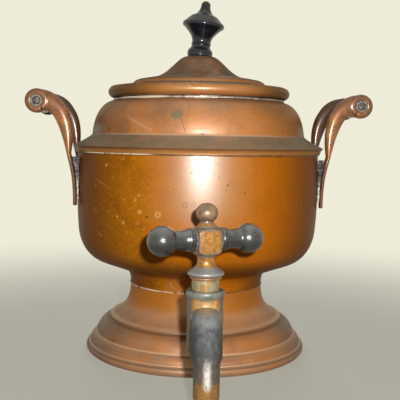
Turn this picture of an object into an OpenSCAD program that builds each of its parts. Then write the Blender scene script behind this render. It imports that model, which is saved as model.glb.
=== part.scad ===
/* [Foot] */
// Outer radius of the foot over its rolled rim, mm
foot_r = 104.5; // [98:0.5:112]
// Height of the foot, from the table to the seam in the neck, mm
foot_h = 63.6; // [58:0.2:70]
// Radius of the foot's rolled rim, in section, mm
foot_rim_r = 4.4; // [4:0.1:5.2]
// Radius of the neck, where foot and bowl meet, mm
neck_r = 62.8; // [58:0.2:66]
// Distance of the first crease, below the foot's bell, in from the rim, mm
step_in = 21; // [18:0.5:25]
// Height of the first crease above the table, mm
step_h = 32.2; // [30:0.2:35]
// Distance of the second crease, above the foot's bead, in from the rim, mm
ridge_in = 10; // [8:0.5:12]
// Height of the second crease above the table, mm
ridge_h = 18.5; // [16:0.5:21]

/* [Bowl] */
// Outer radius of the bowl at its top edge, mm
bowl_r = 114.3; // [110:0.1:118]
// Height of the bowl from the seam in the neck to its top edge, mm
bowl_h = 123.8; // [115:0.2:135]
// Radial run of the turn from the neck out to the sloping bottom, mm
turn_run = 8.7; // [6:0.1:11]
// Rise of that turn, mm
turn_rise = 15; // [13:0.2:18]
// Radial run of the rounded heel between the sloping bottom and the wall, mm
heel_run = 19.3; // [15:0.1:24]
// Height above the seam where the heel starts, mm
heel_rise = 23.8; // [21:0.2:27]
// Height above the seam where the heel has become the wall, mm
wall_rise = 51.9; // [46:0.2:60]
// Distance that the wall draws in from its top edge down to the heel, mm
wall_taper = 1.9; // [0:0.1:4]
// Thickness of the copper sheet, mm
sheet_t = 1.2; // [1:0.1:1.5]

/* [Shoulder] */
// Distance that the ledge stands out past the bowl's wall, mm
ledge_out = 4.3; // [3:0.1:4.8]
// Height of the ledge's tip above the bowl's top edge, mm
ledge_rise = 5.8; // [5:0.1:7]
// Distance of the dome's root in from the bowl's wall, mm
dome_in = 14.1; // [11:0.2:17]
// Height of the dome's root above the bowl's top edge, mm
dome_root_rise = 16.8; // [15:0.2:19]
// Height of the dome's mouth above the bowl's top edge, mm
mouth_rise = 48.4; // [45:0.2:52]
// Radius of the dome's mouth, mm
mouth_r = 76.8; // [72:0.2:79]
// Thickness of the mouth collar's lip, mm
collar_lip_t = 1.8; // [1.2:0.1:2.4]

/* [Lid] */
// Radius of the lid's rolled rim, in section, mm
lid_rim_r = 5.4; // [4.6:0.1:5.6]
// Distance from the mouth's edge out to the middle of the rolled rim, mm
lid_rim_out = 3.4; // [3.2:0.1:5]
// Height of the lid's crown above the middle of its rolled rim, mm
crown_rise = 34.6; // [30:0.2:40]
// Radius of the flat on the crown that the finial stands on, mm
crown_r = 12.6; // [12.2:0.1:14]
// Radius at the foot of the lid's bell, mm
bell_r = 43.5; // [40:0.5:46]
// Radius of the outer edge of the lid's raised plate, mm
plate_r = 63.2; // [60:0.2:66]
// Depth of the locating flange below the middle of the rolled rim, mm
flange_drop = 14; // [8:0.5:16]
// Gap round the locating flange in the mouth collar, mm
flange_gap = 0.6; // [0.4:0.1:1]
// Gap that the lid keeps above its seat, mm
lid_seat_gap = 0.3; // [0.3:0.1:0.5]

/* [Finial] */
// Height of the finial above the crown, mm
finial_h = 53.4; // [46:0.2:60]
// Radius of the finial's disc, mm
finial_disc_r = 19.7; // [17:0.1:22]
// Radius of the finial's base, mm
finial_base_r = 11.9; // [11:0.1:12.2]
// Lean of the finial, from a bent stud, degrees
finial_lean = 6.2; // [0:0.1:7]
// Radius of the finial's stud, mm
finial_stud_r = 2.4; // [2:0.1:3]

/* [Side handles] */
// Distance of each scroll eye from the urn's axis, mm
eye_x = 147; // [144:0.5:152]
// Height of the scroll eyes above the bowl's top edge, mm
eye_rise = 45.1; // [42:0.5:50]
// Radius of a scroll eye, mm
eye_r = 11; // [9.8:0.1:11.6]
// Thickness of a scroll eye along the grip, mm
eye_t = 9.6; // [9:0.1:10.4]
// Distance between the middles of the front and rear arms, mm
arm_spacing = 64; // [60:0.5:70]
// Half the depth of an arm where it is fullest, mm
arm_half_depth = 7.2; // [6:0.1:7.8]
// Half the depth of an arm at its waist, beside the ledge, mm
waist_half_depth = 2.2; // [1.8:0.1:2.6]
// Half the width of an arm, mm
arm_half_w = 4.4; // [3.8:0.1:4.6]
// Length of the arm's tail down the bowl, from the ledge, mm
tail_drop = 48.9; // [40:0.5:56]
// Radius of a grip at its middle, mm
grip_r = 9.5; // [8.6:0.1:9.8]
// Radius of a grip at its ends, mm
grip_end_r = 8.2; // [7.6:0.1:8.4]
// Radius of the screws in the scroll eyes, mm
grip_screw_r = 2.1; // [1.8:0.1:2.4]

/* [Tap body] */
// Distance of the tap's key axis from the urn's axis, mm
tap_y = 163; // [162:0.5:170]
// Height of the tap's waterway at the barrel, above the seam in the neck, mm
flow_rise = 2.4; // [1:0.1:4]
// Height of the tap's socket in the neck, above the seam, mm
inlet_rise = 9.6; // [9.4:0.1:11]
// Height of the top of the tap's barrel above the waterway, mm
barrel_up = 22.6; // [20.5:0.1:25]
// Depth of the underside of the barrel below the waterway, mm
barrel_down = 26; // [22:0.5:30]
// Outer radius of the barrel, mm
barrel_r = 13.7; // [13.2:0.1:14.4]
// Radius over the barrel's beaded rim, mm
barrel_rim_r = 14.8; // [14.5:0.1:16]
// Outer radius of the shank between barrel and bowl, mm
shank_r = 6.4; // [5.8:0.1:7]
// Radius of the waterway, mm
way_r = 3.6; // [3:0.1:4]
// Outer radius of the socket in the bowl's neck, mm
socket_r = 7.6; // [7:0.1:7.8]
// Distance of the spout's outlet axis in front of the key axis, mm
spout_reach = 30.5; // [28:0.5:34]
// Height of the spout's tip above the table, mm
spout_tip_h = 15.4; // [12:0.2:22]
// Outer radius of the spout at its tip, mm
spout_r = 9.7; // [9.2:0.1:10.2]
// Outer radius of the spout at its elbow, mm
elbow_r = 11.3; // [10.2:0.1:12]
// Radius of the spout's outlet bore, mm
outlet_r = 6.4; // [5.5:0.1:7]

/* [Tap key] */
// Radius of the plug at the barrel's top, mm
plug_r = 10.4; // [9.8:0.1:10.8]
// Radius of the plug at the barrel's underside, mm
plug_end_r = 8.6; // [8:0.1:9]
// Radial running clearance of the plug in its barrel, mm
plug_gap = 0.06; // [0.03:0.01:0.1]
// Radius of the key's flange, mm
key_flange_r = 13.9; // [13:0.1:15]
// Height of the flange's rim above the barrel's top, mm
key_flange_rise = 12.6; // [12:0.2:14]
// Width of the square boss, mm
boss_w = 18.6; // [17.6:0.1:20]
// Height of the square boss, mm
boss_h = 20.6; // [19:0.2:22]
// Height of the handle's axis above the barrel's top, mm
handle_rise = 37.4; // [36:0.2:41]
// Radius of the ball on top of the key, mm
key_ball_r = 8.4; // [7.8:0.1:9]
// Angle of the cross handle at rest, turned from square across the tap, degrees
handle_turn = 19; // [-20:1:20]
// Distance from the key's axis to the middle of each wooden ball, mm
handle_ball_x = 34.6; // [33:0.1:36]
// Radius of each wooden ball, mm
handle_ball_r = 11.5; // [10.5:0.1:12]
// Radius of each wooden arm at its waist, mm
handle_waist_r = 7.1; // [6.4:0.1:7.8]
// Radius of the rod through the boss and both wooden arms, mm
rod_r = 2.6; // [2.2:0.1:3]

/* [Hidden] */
$fn = 96;
// clearances
seat = 0.03;          // between faces that are soldered or screwed together
fit = 0.05;           // radial, round pins, rods and screws in their holes
run_gap = 0.3;        // between faces that move past each other
EPS = 0.02;
cut_over = 5;         // that a cut runs on past the face where it ends

// colours
copper = "#b4652d";
amber = "#a8641c";
tin = "#cfcabc";
ebony = "#1c1c22";
patina = "#7d7a6a";

/* ---- curves and sheet ---- */

// A point at angle a on a circle of radius r about c.
function on_circle(c, r, a) = [c[0] + r * cos(a), c[1] + r * sin(a)];
// Points along an arc, from angle a0 to a1, in n steps.
function arc(c, r, a0, a1, n) = [for (i = [0:n]) on_circle(c, r, a0 + (a1 - a0) * i / n)];
// A point on a cubic curve with ends a, d and handles b, c.
function bezier_at(a, b, c, d, t) =
    pow(1 - t, 3) * a + 3 * pow(1 - t, 2) * t * b + 3 * (1 - t) * t * t * c + pow(t, 3) * d;
// Points along a cubic curve, in n steps.
function bezier(a, b, c, d, n) = [for (i = [0:n]) bezier_at(a, b, c, d, i / n)];
// A list without points that repeat the one before.
function clean(p) = [for (i = [0:len(p) - 1]) if (i == 0 || norm(p[i] - p[i - 1]) > 0.02) p[i]];
// The unit normal to the right of the direction from a to b.
function right_of(a, b) = let (d = (b - a) / norm(b - a)) [d[1], -d[0]];
// The line that runs t to the right of a path, mitred at its corners.
function beside(p, t) = [for (i = [0:len(p) - 1])
    let (n0 = right_of(p[max(i - 1, 0)], p[max(i, 1)]),
         n1 = right_of(p[min(i, len(p) - 2)], p[min(i + 1, len(p) - 1)]),
         n = n0 + n1)
    p[i] + n * 2 * t / (n * n)];
function reversed(p) = [for (i = [len(p) - 1:-1:0]) p[i]];
// The section of a sheet whose outer face follows a path; the wall lies to the right of the path.
module sheet_section(path, t) polygon(concat(clean(path), reversed(beside(clean(path), t))));
// A spun sheet: its section turned round the Z axis.
module spun(path, t) rotate_extrude($fn = 128) sheet_section(path, t);

/* ---- derived places ---- */

bowl_top_h = foot_h + bowl_h;
ledge_r = bowl_r + ledge_out;
mouth_z = bowl_top_h + mouth_rise;
collar_out_r = mouth_r - 0.15;
collar_in_r = collar_out_r - sheet_t;
lid_ring_r = mouth_r + lid_rim_out;
lid_z = mouth_z + collar_lip_t + lid_seat_gap + lid_rim_r;    // middle of the lid's rolled rim
crown_z = lid_z + crown_rise;
eye_z = bowl_top_h + eye_rise;
arm_y = arm_spacing / 2;
flow_z = foot_h + flow_rise;
barrel_top = flow_z + barrel_up;
barrel_base = flow_z - barrel_down;
handle_z = barrel_top + handle_rise;

/* ---- foot ---- */

foot_rim_flat = 0.3;      // worn off the rolled rim where it stands
foot_rim_c = [foot_r - foot_rim_r, foot_rim_r - foot_rim_flat];
step_p = [foot_r - step_in, step_h];
ridge_p = [foot_r - ridge_in, ridge_h];
rim_a = 78;               // where the rolled rim starts, at the last crease, degrees
rim_start = on_circle(foot_rim_c, foot_rim_r, rim_a);
lip_r = 1.8;              // of the bell's turned-down lip above the first crease
lip_a = 68;               // where the bell runs into its lip, degrees
lip_c = step_p + [-2.8, 0];
lip_start = on_circle(lip_c, lip_r, lip_a);
neck_edge = 1;            // height of the neck that runs straight, above and below the seam
foot_bell = concat([[neck_r, foot_h]], bezier([neck_r, foot_h - neck_edge], [neck_r + 0.4, foot_h - 17.6],
                   lip_start + [-12.5, 5.05], lip_start, 16));
foot_lip = arc(lip_c, lip_r, lip_a, 0, 5);
foot_band = bezier(step_p + [-0.7, -0.9], step_p + [5.4, -3.1], ridge_p + [-1, 6.2],
                   ridge_p + [0.1, -0.9], 12);
foot_bead = bezier(ridge_p + [0.6, -2], ridge_p + [3.2, -3.2], rim_start + [-0.2, 4.4],
                   rim_start + [-0.3, 0.7], 8);
foot_curl = arc(foot_rim_c, foot_rim_r, rim_a, -150, 22);

module foot() color(copper) difference() {
    spun(concat(foot_bell, foot_lip, foot_band, foot_bead, foot_curl), sheet_t);
    translate([0, 0, -foot_rim_r]) cylinder(r = foot_r + 1, h = foot_rim_r);
}

seam_r = 0.8;
module seam_bead(r, z) rotate_extrude($fn = 128) polygon(arc([r + seat, z], seam_r, -90, 90, 8));
module neck_seam() color(tin) seam_bead(neck_r, foot_h);

/* ---- bowl ---- */

lap = 2;                  // of the bowl's top edge inside the shoulder's rim
neck_lift = 0.1;          // of the bowl's neck above the foot's, filled by the solder
turn_p = [neck_r + turn_run, foot_h + turn_rise];
wall_p = [bowl_r - wall_taper, foot_h + wall_rise];
heel_p = [wall_p[0] - heel_run + wall_taper, foot_h + heel_rise];
bowl_wall = bezier([bowl_r, bowl_top_h - 10], [bowl_r, foot_h + wall_rise + 26], wall_p + [0.9, 9],
                   wall_p, 8);
bowl_heel = bezier(wall_p, wall_p - [1.6, 15.5], heel_p + [7.5, 2.9], heel_p, 14);
bowl_turn = concat(bezier(turn_p, turn_p - [5, 1.3], [neck_r + 0.35, foot_h + 10.4],
                          [neck_r, foot_h + neck_edge], 10), [[neck_r, foot_h + neck_lift]]);

inlet_slope = atan((inlet_rise - flow_rise) / (tap_y - neck_r));
// A cylinder along the tap's inlet, between two distances back from the key's axis.
module along_inlet(r, from, to) translate([0, -tap_y, flow_z]) rotate([inlet_slope - 90, 0, 0])
    translate([0, 0, from]) cylinder(r = r, h = to - from, $fn = 64);

module bowl() color(amber) difference() {
    spun(concat([[bowl_r, bowl_top_h + lap]], bowl_wall, bowl_heel, bowl_turn), sheet_t);
    along_inlet(socket_r + fit, socket_face - cut_over, inlet_end);
}

floor_r = neck_r - sheet_t - fit;
floor_z = foot_h - 1;
floor_bend = 1.5;         // of the floor's edge, where it turns down
floor_skirt = 7;          // depth of the turned-down edge
module bowl_floor() color(tin)
    spun([[0, floor_z], [floor_r - floor_bend, floor_z], [floor_r, floor_z - floor_bend],
          [floor_r, floor_z - floor_skirt]], sheet_t);

/* ---- shoulder and mouth ---- */

rim_foot = [bowl_r + sheet_t + fit, bowl_top_h + seam_r + 0.1];
ledge_p = [ledge_r, bowl_top_h + ledge_rise];
dome_p = [bowl_r - dome_in, bowl_top_h + dome_root_rise];
shoulder_dome = bezier([mouth_r, mouth_z], [mouth_r + 14.6, mouth_z - 0.4], dome_p + [-1.6, 17.8],
                       dome_p, 18);
shoulder_flare = bezier(dome_p, dome_p + [1.4, -2.4], ledge_p + [-9.5, 4.6], ledge_p, 8);
shoulder_rim = bezier(ledge_p, ledge_p + [-1.6, -1.2], rim_foot + [0, 2.2], rim_foot, 6);

module shoulder() color(copper) spun(concat(shoulder_dome, shoulder_flare, shoulder_rim), sheet_t);
module shoulder_seam() color(tin) seam_bead(bowl_r, bowl_top_h);

collar_drop = 7;
collar_lip_r = mouth_r + 3.8;
lip_bevel = 0.5;
module mouth_collar() color(tin) rotate_extrude($fn = 128) polygon([
    [collar_in_r, mouth_z - collar_drop], [collar_out_r, mouth_z - collar_drop],
    [collar_out_r, mouth_z + seat], [collar_lip_r, mouth_z + seat],
    [collar_lip_r, mouth_z + collar_lip_t - lip_bevel],
    [collar_lip_r - lip_bevel, mouth_z + collar_lip_t], [collar_in_r, mouth_z + collar_lip_t]]);

/* ---- lid ---- */

lid_ring_c = [lid_ring_r, lid_z];
stud_hole_r = finial_stud_r + 0.35;
bell_p = [bell_r, lid_z + 14.6];
plate_in = [plate_r - 7.2, lid_z + 12.3];
plate_out = [plate_r, lid_z + 7.6];
rim_join = on_circle(lid_ring_c, lid_rim_r, 108);
lid_bell = bezier([crown_r, crown_z], [crown_r + 7.9, crown_z], bell_p + [-14.5, 2.4], bell_p, 18);
lid_step = bezier(plate_in, plate_in + [3.6, -0.4], plate_out + [-0.8, 2.7], plate_out, 8);
lid_flat = bezier(plate_out, plate_out + [2, -1.4], rim_join + [-6, 1.0], rim_join, 8);
lid_curl = arc(lid_ring_c, lid_rim_r, 108, -185, 28);

module lid() color(copper)
    spun(concat([[stud_hole_r, crown_z]], lid_bell, lid_step, lid_flat, lid_curl), sheet_t);

flange_r = min(collar_in_r - flange_gap, lid_ring_r - lid_rim_r - seat);
flange_t = 1;
flange_top = lid_z + lid_rim_r - sheet_t - seat;
flange_h = flange_top - lid_z + flange_drop;
module lid_flange() color(tin) translate([0, 0, lid_z - flange_drop]) difference() {
    cylinder(r = flange_r, h = flange_h, $fn = 128);
    translate([0, 0, -1]) cylinder(r = flange_r - flange_t, h = flange_h + 2, $fn = 128);
}

/* ---- finial ---- */

disc_h = 0.577 * finial_h;
waist_r = 0.74 * finial_base_r;
knob_r = 4.5;
finial_profile = concat(
    [[0, 0], [finial_base_r - 0.7, 0]],
    arc([finial_base_r - 2.6, 2.6], 2.6, -40, 0, 4),
    bezier([finial_base_r, 5.2], [finial_base_r, 8.2], [waist_r, 8.2], [waist_r, 11.8], 8),
    arc([waist_r - 0.3, 13.2], 0.9, -60, 60, 4),
    bezier([waist_r, 14.6], [waist_r, 18.6], [finial_disc_r - 9, disc_h - 9],
           [finial_disc_r - 2.2, disc_h - 3], 8),
    arc([finial_disc_r - 2.8, disc_h], 2.8, -48, 55, 8),
    bezier([finial_disc_r - 2, disc_h + 2.8], [finial_disc_r - 4.2, disc_h + 5.4],
           [finial_disc_r - 6, disc_h + 6.6], [finial_disc_r - 7.4, disc_h + 8.2], 6),
    bezier([finial_disc_r - 8.2, disc_h + 8.5], [knob_r + 2.8, disc_h + 10],
           [knob_r + 0.8, disc_h + 13], [knob_r - 0.1, finial_h - knob_r - 1], 8),
    arc([0, finial_h - knob_r], knob_r, 8, 90, 7));
stud_up = 22;
stud_knee = 0.3;          // that the stud's bent length starts below the crown
finial_screw_r = finial_stud_r - 0.1;     // of the bent length, inside the wood

module finial() color(ebony) translate([0, 0, crown_z]) difference() {
    rotate([0, finial_lean, 0]) difference() {
        translate([0, 0, -finial_base_r * sin(finial_lean)]) rotate_extrude() polygon(finial_profile);
        translate([0, 0, -2]) cylinder(r = finial_screw_r + fit, h = stud_up + 2.5, $fn = 48);
    }
    translate([-30, -30, -10]) cube([60, 60, 10 + seat]);
}

washer_t = 1.2;
washer_r = 7;
finial_nut_h = 4;
stud_past_nut = 2;
finial_washer_z = crown_z - sheet_t - seat - washer_t;
finial_nut_z = finial_washer_z - seat - finial_nut_h;
module finial_stud() color(patina) union() {
    translate([0, 0, finial_nut_z - stud_past_nut])
        cylinder(r = finial_stud_r, h = crown_z - finial_nut_z + stud_past_nut, $fn = 48);
    translate([0, 0, crown_z]) rotate([0, finial_lean, 0]) translate([0, 0, -stud_knee])
        cylinder(r = finial_screw_r, h = stud_up + stud_knee, $fn = 48);
}
module finial_washer() color(patina) translate([0, 0, finial_washer_z]) difference() {
    cylinder(r = washer_r, h = washer_t);
    translate([0, 0, -1]) cylinder(r = finial_stud_r + fit, h = washer_t + 2, $fn = 48);
}
module finial_nut() color(patina) translate([0, 0, finial_nut_z]) difference() {
    cylinder(r = 2 * finial_stud_r, h = finial_nut_h, $fn = 6);
    translate([0, 0, -1]) cylinder(r = finial_stud_r + fit, h = finial_nut_h + 2, $fn = 48);
}

/* ---- side handles ---- */

arm_sides = 16;
tail_steps = 8;
horn_steps = 16;
foot_half_depth = 1.9;                    // of the tail's lower end
hip = [ledge_r, bowl_top_h - 1.4];        // where the tail ends and the horn starts
tail_foot = [sqrt(pow(bowl_r, 2) - pow(arm_y, 2)) + 3.2, bowl_top_h - tail_drop];
eye_p = [eye_x, eye_z];
tail_line = [tail_foot, tail_foot + [-0.2, 25.5], hip - [3.4, 14], hip];
horn_line = [hip, hip + [0.4, 21], eye_p + [-23.5, 3.4], eye_p];
horn_end = 0.94;                          // share of the horn's line that the arm is swept along
fullest = 0.62;                           // share of that line at which the arm is fullest

function line_at(l, t) = bezier_at(l[0], l[1], l[2], l[3], t);
function tail_depth(t) = foot_half_depth + (waist_half_depth - foot_half_depth) * t;
function horn_depth(t) = waist_half_depth
    + (arm_half_depth - waist_half_depth) * sin(90 * min(t / fullest, 1)) + 9 * max(t - fullest, 0);
// Stations along the arm: place in X and Z, half depth and half width.
arm_stations = concat(
    [for (i = [0:tail_steps - 1]) let (t = i / tail_steps)
        [line_at(tail_line, t), tail_depth(t), arm_half_w * (0.72 + 0.28 * t)]],
    [for (i = [0:horn_steps]) let (t = horn_end * i / horn_steps)
        [line_at(horn_line, t), horn_depth(t), arm_half_w]]);
// The unit direction of the arm at a station.
function arm_dir(i) = let (n = len(arm_stations) - 1,
    d = arm_stations[min(i + 1, n)][0] - arm_stations[max(i - 1, 0)][0]) d / norm(d);
// One oval ring of the arm, round station i.
function arm_ring(i) = let (s = arm_stations[i], n = right_of([0, 0], arm_dir(i)))
    [for (k = [0:arm_sides - 1]) let (a = 360 * k / arm_sides)
        [s[0][0] + n[0] * s[1] * cos(a), s[2] * sin(a), s[0][1] + n[1] * s[1] * cos(a)]];

module arm_sweep() {
    n = len(arm_stations);
    polyhedron(
        points = [for (i = [0:n - 1]) each arm_ring(i)],
        faces = concat(
            [[for (k = [0:arm_sides - 1]) k]],
            [for (i = [0:n - 2]) for (k = [0:arm_sides - 1]) let (j = (k + 1) % arm_sides)
                [i * arm_sides + k, (i + 1) * arm_sides + k, (i + 1) * arm_sides + j, i * arm_sides + j]],
            [[for (k = [arm_sides - 1:-1:0]) (n - 1) * arm_sides + k]]));
}

eye_round = 3;
eye_dish_r = 5.6;
eye_dish = 0.7;
// The scroll eye, a round-edged disc across Y with its dished face towards -Y.
module eye_disc() translate([eye_x, 0, eye_z]) rotate([90, 0, 0]) difference() {
    rotate_extrude() polygon(concat(
        [[0, -eye_t / 2]], arc([eye_r - eye_round, eye_round - eye_t / 2], eye_round, -90, 0, 6),
        arc([eye_r - eye_round, eye_t / 2 - eye_round], eye_round, 0, 90, 6), [[0, eye_t / 2]]));
    translate([0, 0, eye_t / 2 - eye_dish]) cylinder(r = eye_dish_r, h = 2);
    translate([0, 0, -eye_t]) cylinder(r = grip_screw_r + fit, h = 2 * eye_t, $fn = 48);
}

curl_a = 124;             // from the outer side round under the eye to the end of its curl, degrees
curl_gap = 1.4;
curl_l = 3.6;             // length of the gap between the curl's end and the arm
// An arm at +X with its dished face towards -Y.
module arm() difference() {
    union() {
        difference() {
            arm_sweep();
            translate([0, arm_y, 0]) cylinder(r = bowl_r + seat, h = bowl_top_h, $fn = 128);
            translate([eye_x, 0, eye_z]) rotate([90, 0, 0])
                cylinder(r = eye_r - 1.5, h = 2 * eye_t, center = true);
        }
        eye_disc();
    }
    translate([eye_x, 0, eye_z]) rotate([0, curl_a, 0])
        translate([eye_r - curl_l, -eye_t, -curl_gap / 2]) cube([eye_r, 2 * eye_t, curl_gap]);
}
module front_arm() translate([0, -arm_y, 0]) arm();
module rear_arm() mirror([0, 1, 0]) front_arm();
module left() mirror([1, 0, 0]) children();

module arm_right_front() color(copper) front_arm();
module arm_right_rear() color(copper) rear_arm();
module arm_left_front() color(copper) left() front_arm();
module arm_left_rear() color(copper) left() rear_arm();

solder_half_w = 1.7;
solder_steps = 10;
solder_line = [for (i = [0:solder_steps]) let (t = 0.08 + 0.84 * i / solder_steps)
    line_at(tail_line, t) - [tail_depth(t) + seat, 0]];
// The solder between one tail and the bowl.
module tail_solder() translate([0, -arm_y, 0]) difference() {
    rotate([90, 0, 0]) linear_extrude(2 * solder_half_w, center = true) polygon(concat(solder_line,
        [[tail_foot[0] - 12, solder_line[solder_steps][1]], [tail_foot[0] - 12, solder_line[0][1]]]));
    translate([0, arm_y, 0]) cylinder(r = bowl_r + seat, h = bowl_top_h, $fn = 128);
}
module arm_solder() {
    tail_solder();
    mirror([0, 1, 0]) tail_solder();
}
module arm_solder_right() color(tin) arm_solder();
module arm_solder_left() color(tin) left() arm_solder();

grip_half = arm_y - eye_t / 2 - seat;
screw_depth = 15;
module grip() translate([eye_x, 0, eye_z]) rotate([90, 0, 0]) difference() {
    rotate_extrude() polygon(concat(
        [[0, -grip_half], [grip_end_r, -grip_half], [grip_end_r, 2 - grip_half]],
        bezier([grip_end_r - 0.7, 3 - grip_half], [grip_r, 9 - grip_half], [grip_r, -8], [grip_r, 0], 8),
        bezier([grip_r, 0], [grip_r, 8], [grip_r, grip_half - 9], [grip_end_r - 0.7, grip_half - 3], 8),
        [[grip_end_r, grip_half - 2], [grip_end_r, grip_half], [0, grip_half]]));
    for (side = [-1, 1]) translate([0, 0, side * grip_half])
        cylinder(r = grip_screw_r + fit, h = 2 * screw_depth, center = true, $fn = 48);
}
module grip_right() color(ebony) grip();
module grip_left() color(ebony) left() grip();

grip_washer_t = 1;
dish_y = arm_y + eye_t / 2 - eye_dish;    // of the dished face that the washer lies on
module at_each_eye() for (side = [0, 1]) mirror([0, side, 0])
    translate([eye_x, -dish_y, eye_z]) rotate([90, 0, 0]) children();
module grip_washers() at_each_eye() translate([0, 0, seat]) difference() {
    cylinder(r = eye_dish_r - 0.3, h = grip_washer_t);
    translate([0, 0, -1]) cylinder(r = grip_screw_r + fit, h = 3, $fn = 48);
}
module grip_washers_right() color(tin) grip_washers();
module grip_washers_left() color(tin) left() grip_washers();

head_r = 3.7;
head_h = 2;
slot_w = 1.1;
screw_l = eye_t - eye_dish + grip_washer_t + screw_depth - 2;
module grip_screws() at_each_eye() translate([0, 0, grip_washer_t + 2 * seat]) difference() {
    union() {
        rotate_extrude($fn = 48) polygon(concat(
            [[0, 0], [head_r, 0]],
            bezier([head_r, 0.7], [head_r, 1.4], [head_r - 1.4, head_h], [0, head_h], 6)));
        mirror([0, 0, 1]) cylinder(r = grip_screw_r, h = screw_l, $fn = 48);
    }
    translate([-head_r, -slot_w / 2, head_h - 1.1]) cube([2 * head_r, slot_w, 2]);
}
module grip_screws_right() color(patina) grip_screws();
module grip_screws_left() color(patina) left() grip_screws();

/* ---- tap body ---- */

gasket_t = 1.6;
hex_l = 6.5;
hex_r = socket_r + 0.6;                   // over the corners of the hexagon
screw_in_r = shank_r - 0.9;               // of the shank's end inside the socket
// distances back from the key's axis
socket_face = tap_y - turn_p[0] - 8;
gasket_back = socket_face - seat;
hex_back = gasket_back - gasket_t - seat;
inlet_end = tap_y - neck_r + 4;

module tap_socket() color("#b08a4a") difference() {
    along_inlet(socket_r, socket_face, inlet_end);
    along_inlet(screw_in_r + fit, socket_face - 1, inlet_end + 1);
}
module tap_gasket() color("#5a4632") difference() {
    along_inlet(socket_r, gasket_back - gasket_t, gasket_back);
    along_inlet(screw_in_r + fit, gasket_back - gasket_t - 1, gasket_back + 1);
}

plug_slope = (plug_r - plug_end_r) / (barrel_up + barrel_down);
function plug_r_at(z) = plug_end_r + plug_slope * (z - barrel_base);
spout_run = 14.2;                         // of the spout before its elbow
bend_r = spout_reach - spout_run;         // radius of the elbow's middle line
elbow_z = flow_z - bend_r;                // height where the elbow ends
elbow_collar = 2;                         // of full width, below the elbow
taper_l = 10;                             // of the spout below that collar
elbow_over = 2;                           // that the elbow turns on into its neighbours, degrees
elbow_step = 0.05;                        // of the elbow under its neighbours' ends

// The spout's run along the waterway and its elbow.
module spout_bend(root_r, r) translate([0, -tap_y, flow_z]) {
    rotate([90, 0, 0]) cylinder(r1 = root_r, r2 = r, h = spout_run, $fn = 64);
    translate([0, -spout_run, -bend_r]) rotate([90, 0, -90]) rotate([0, 0, -elbow_over])
        rotate_extrude(angle = 90 + 2 * elbow_over, $fn = 64)
            translate([bend_r, 0]) circle(r = r - elbow_step, $fn = 64);
}
module spout() translate([0, -tap_y - spout_reach, spout_tip_h]) {
    spout_l = elbow_z - spout_tip_h;
    taper_end = spout_l - elbow_collar;
    taper_start = taper_end - taper_l;
    rotate_extrude($fn = 64) polygon(concat([[0, 0], [spout_r, 0]],
        bezier([spout_r, taper_start], [spout_r, taper_start + 0.5 * taper_l],
               [elbow_r, taper_start + 0.6 * taper_l], [elbow_r, taper_end], 6),
        [[elbow_r, spout_l], [0, spout_l]]));
}
module barrel() translate([0, -tap_y, 0]) rotate_extrude() polygon(concat(
    [[0, barrel_base], [barrel_r - 1.2, barrel_base], [barrel_r, barrel_base + 1.2],
     [barrel_r, barrel_top - 6.4]],
    bezier([barrel_rim_r - 0.5, barrel_top - 5.4], [barrel_rim_r + 0.1, barrel_top - 4.2],
           [barrel_rim_r + 0.1, barrel_top - 1.6], [barrel_rim_r - 0.8, barrel_top - 0.3], 8),
    [[barrel_rim_r - 1.4, barrel_top], [0, barrel_top]]));

module tap_body() color(patina) difference() {
    union() {
        barrel();
        along_inlet(shank_r, 0, hex_back - hex_l + EPS);
        translate([0, -tap_y, flow_z]) rotate([inlet_slope - 90, 0, 0])
            translate([0, 0, hex_back - hex_l]) cylinder(r = hex_r, h = hex_l, $fn = 6);
        along_inlet(screw_in_r, hex_back - EPS, inlet_end - seam_r);
        spout_bend(barrel_r - 0.3, elbow_r);
        spout();
    }
    translate([0, -tap_y, barrel_base - 1]) cylinder(
        r1 = plug_r_at(barrel_base - 1) + plug_gap, r2 = plug_r_at(barrel_top + 1) + plug_gap,
        h = barrel_top - barrel_base + 2);
    along_inlet(way_r, 0, inlet_end);
    spout_bend(way_r, outlet_r);
    translate([0, -tap_y - spout_reach, spout_tip_h - 1])
        cylinder(r = outlet_r, h = elbow_z - spout_tip_h + 1, $fn = 64);
}

/* ---- tap key ---- */

module at_key() translate([0, -tap_y, 0]) rotate([0, 0, handle_turn]) children();

flange_z = barrel_top + key_flange_rise;
boss_drop = 0.9;          // of the boss's middle below the handle's axis
boss_z = handle_z - boss_h / 2 - boss_drop;
ball_neck_r = 5.1;
ball_flat = 0.9;          // height of the key's ball over its width
ball_neck_z = boss_z + boss_h + 4.6;
key_ball_z = ball_neck_z + ball_flat * sqrt(pow(key_ball_r, 2) - pow(ball_neck_r, 2));
stem_r = 6.6;
plug_bottom = barrel_base - run_gap;

module key_turned() rotate_extrude() polygon(concat(
    [[0, barrel_top], [plug_r, barrel_top], [plug_r, flange_z - 4.4]],
    arc([plug_r + 0.6, flange_z - 3.4], 1, -90, 50, 5),
    bezier([plug_r + 1.6, flange_z - 2.2], [key_flange_r - 0.5, flange_z - 1.9],
           [key_flange_r, flange_z - 1.2], [key_flange_r, flange_z - 0.5], 5),
    bezier([key_flange_r, flange_z + 0.4], [key_flange_r - 1, flange_z + 2.2],
           [stem_r + 0.2, flange_z + 4], [stem_r, flange_z + 9], 8),
    bezier([stem_r, flange_z + 9.4], [stem_r + 0.1, boss_z - 2], [stem_r + 0.9, boss_z - 0.6],
           [8.2, boss_z + 0.8], 5),
    bezier([8.4, boss_z + boss_h - 1], [7.6, boss_z + boss_h + 1.8], [ball_neck_r, boss_z + boss_h + 2.4],
           [ball_neck_r, ball_neck_z], 6),
    [for (p = arc([0, 0], key_ball_r, -acos(ball_neck_r / key_ball_r), 90, 14))
        [p[0], key_ball_z + ball_flat * p[1]]]));

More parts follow.
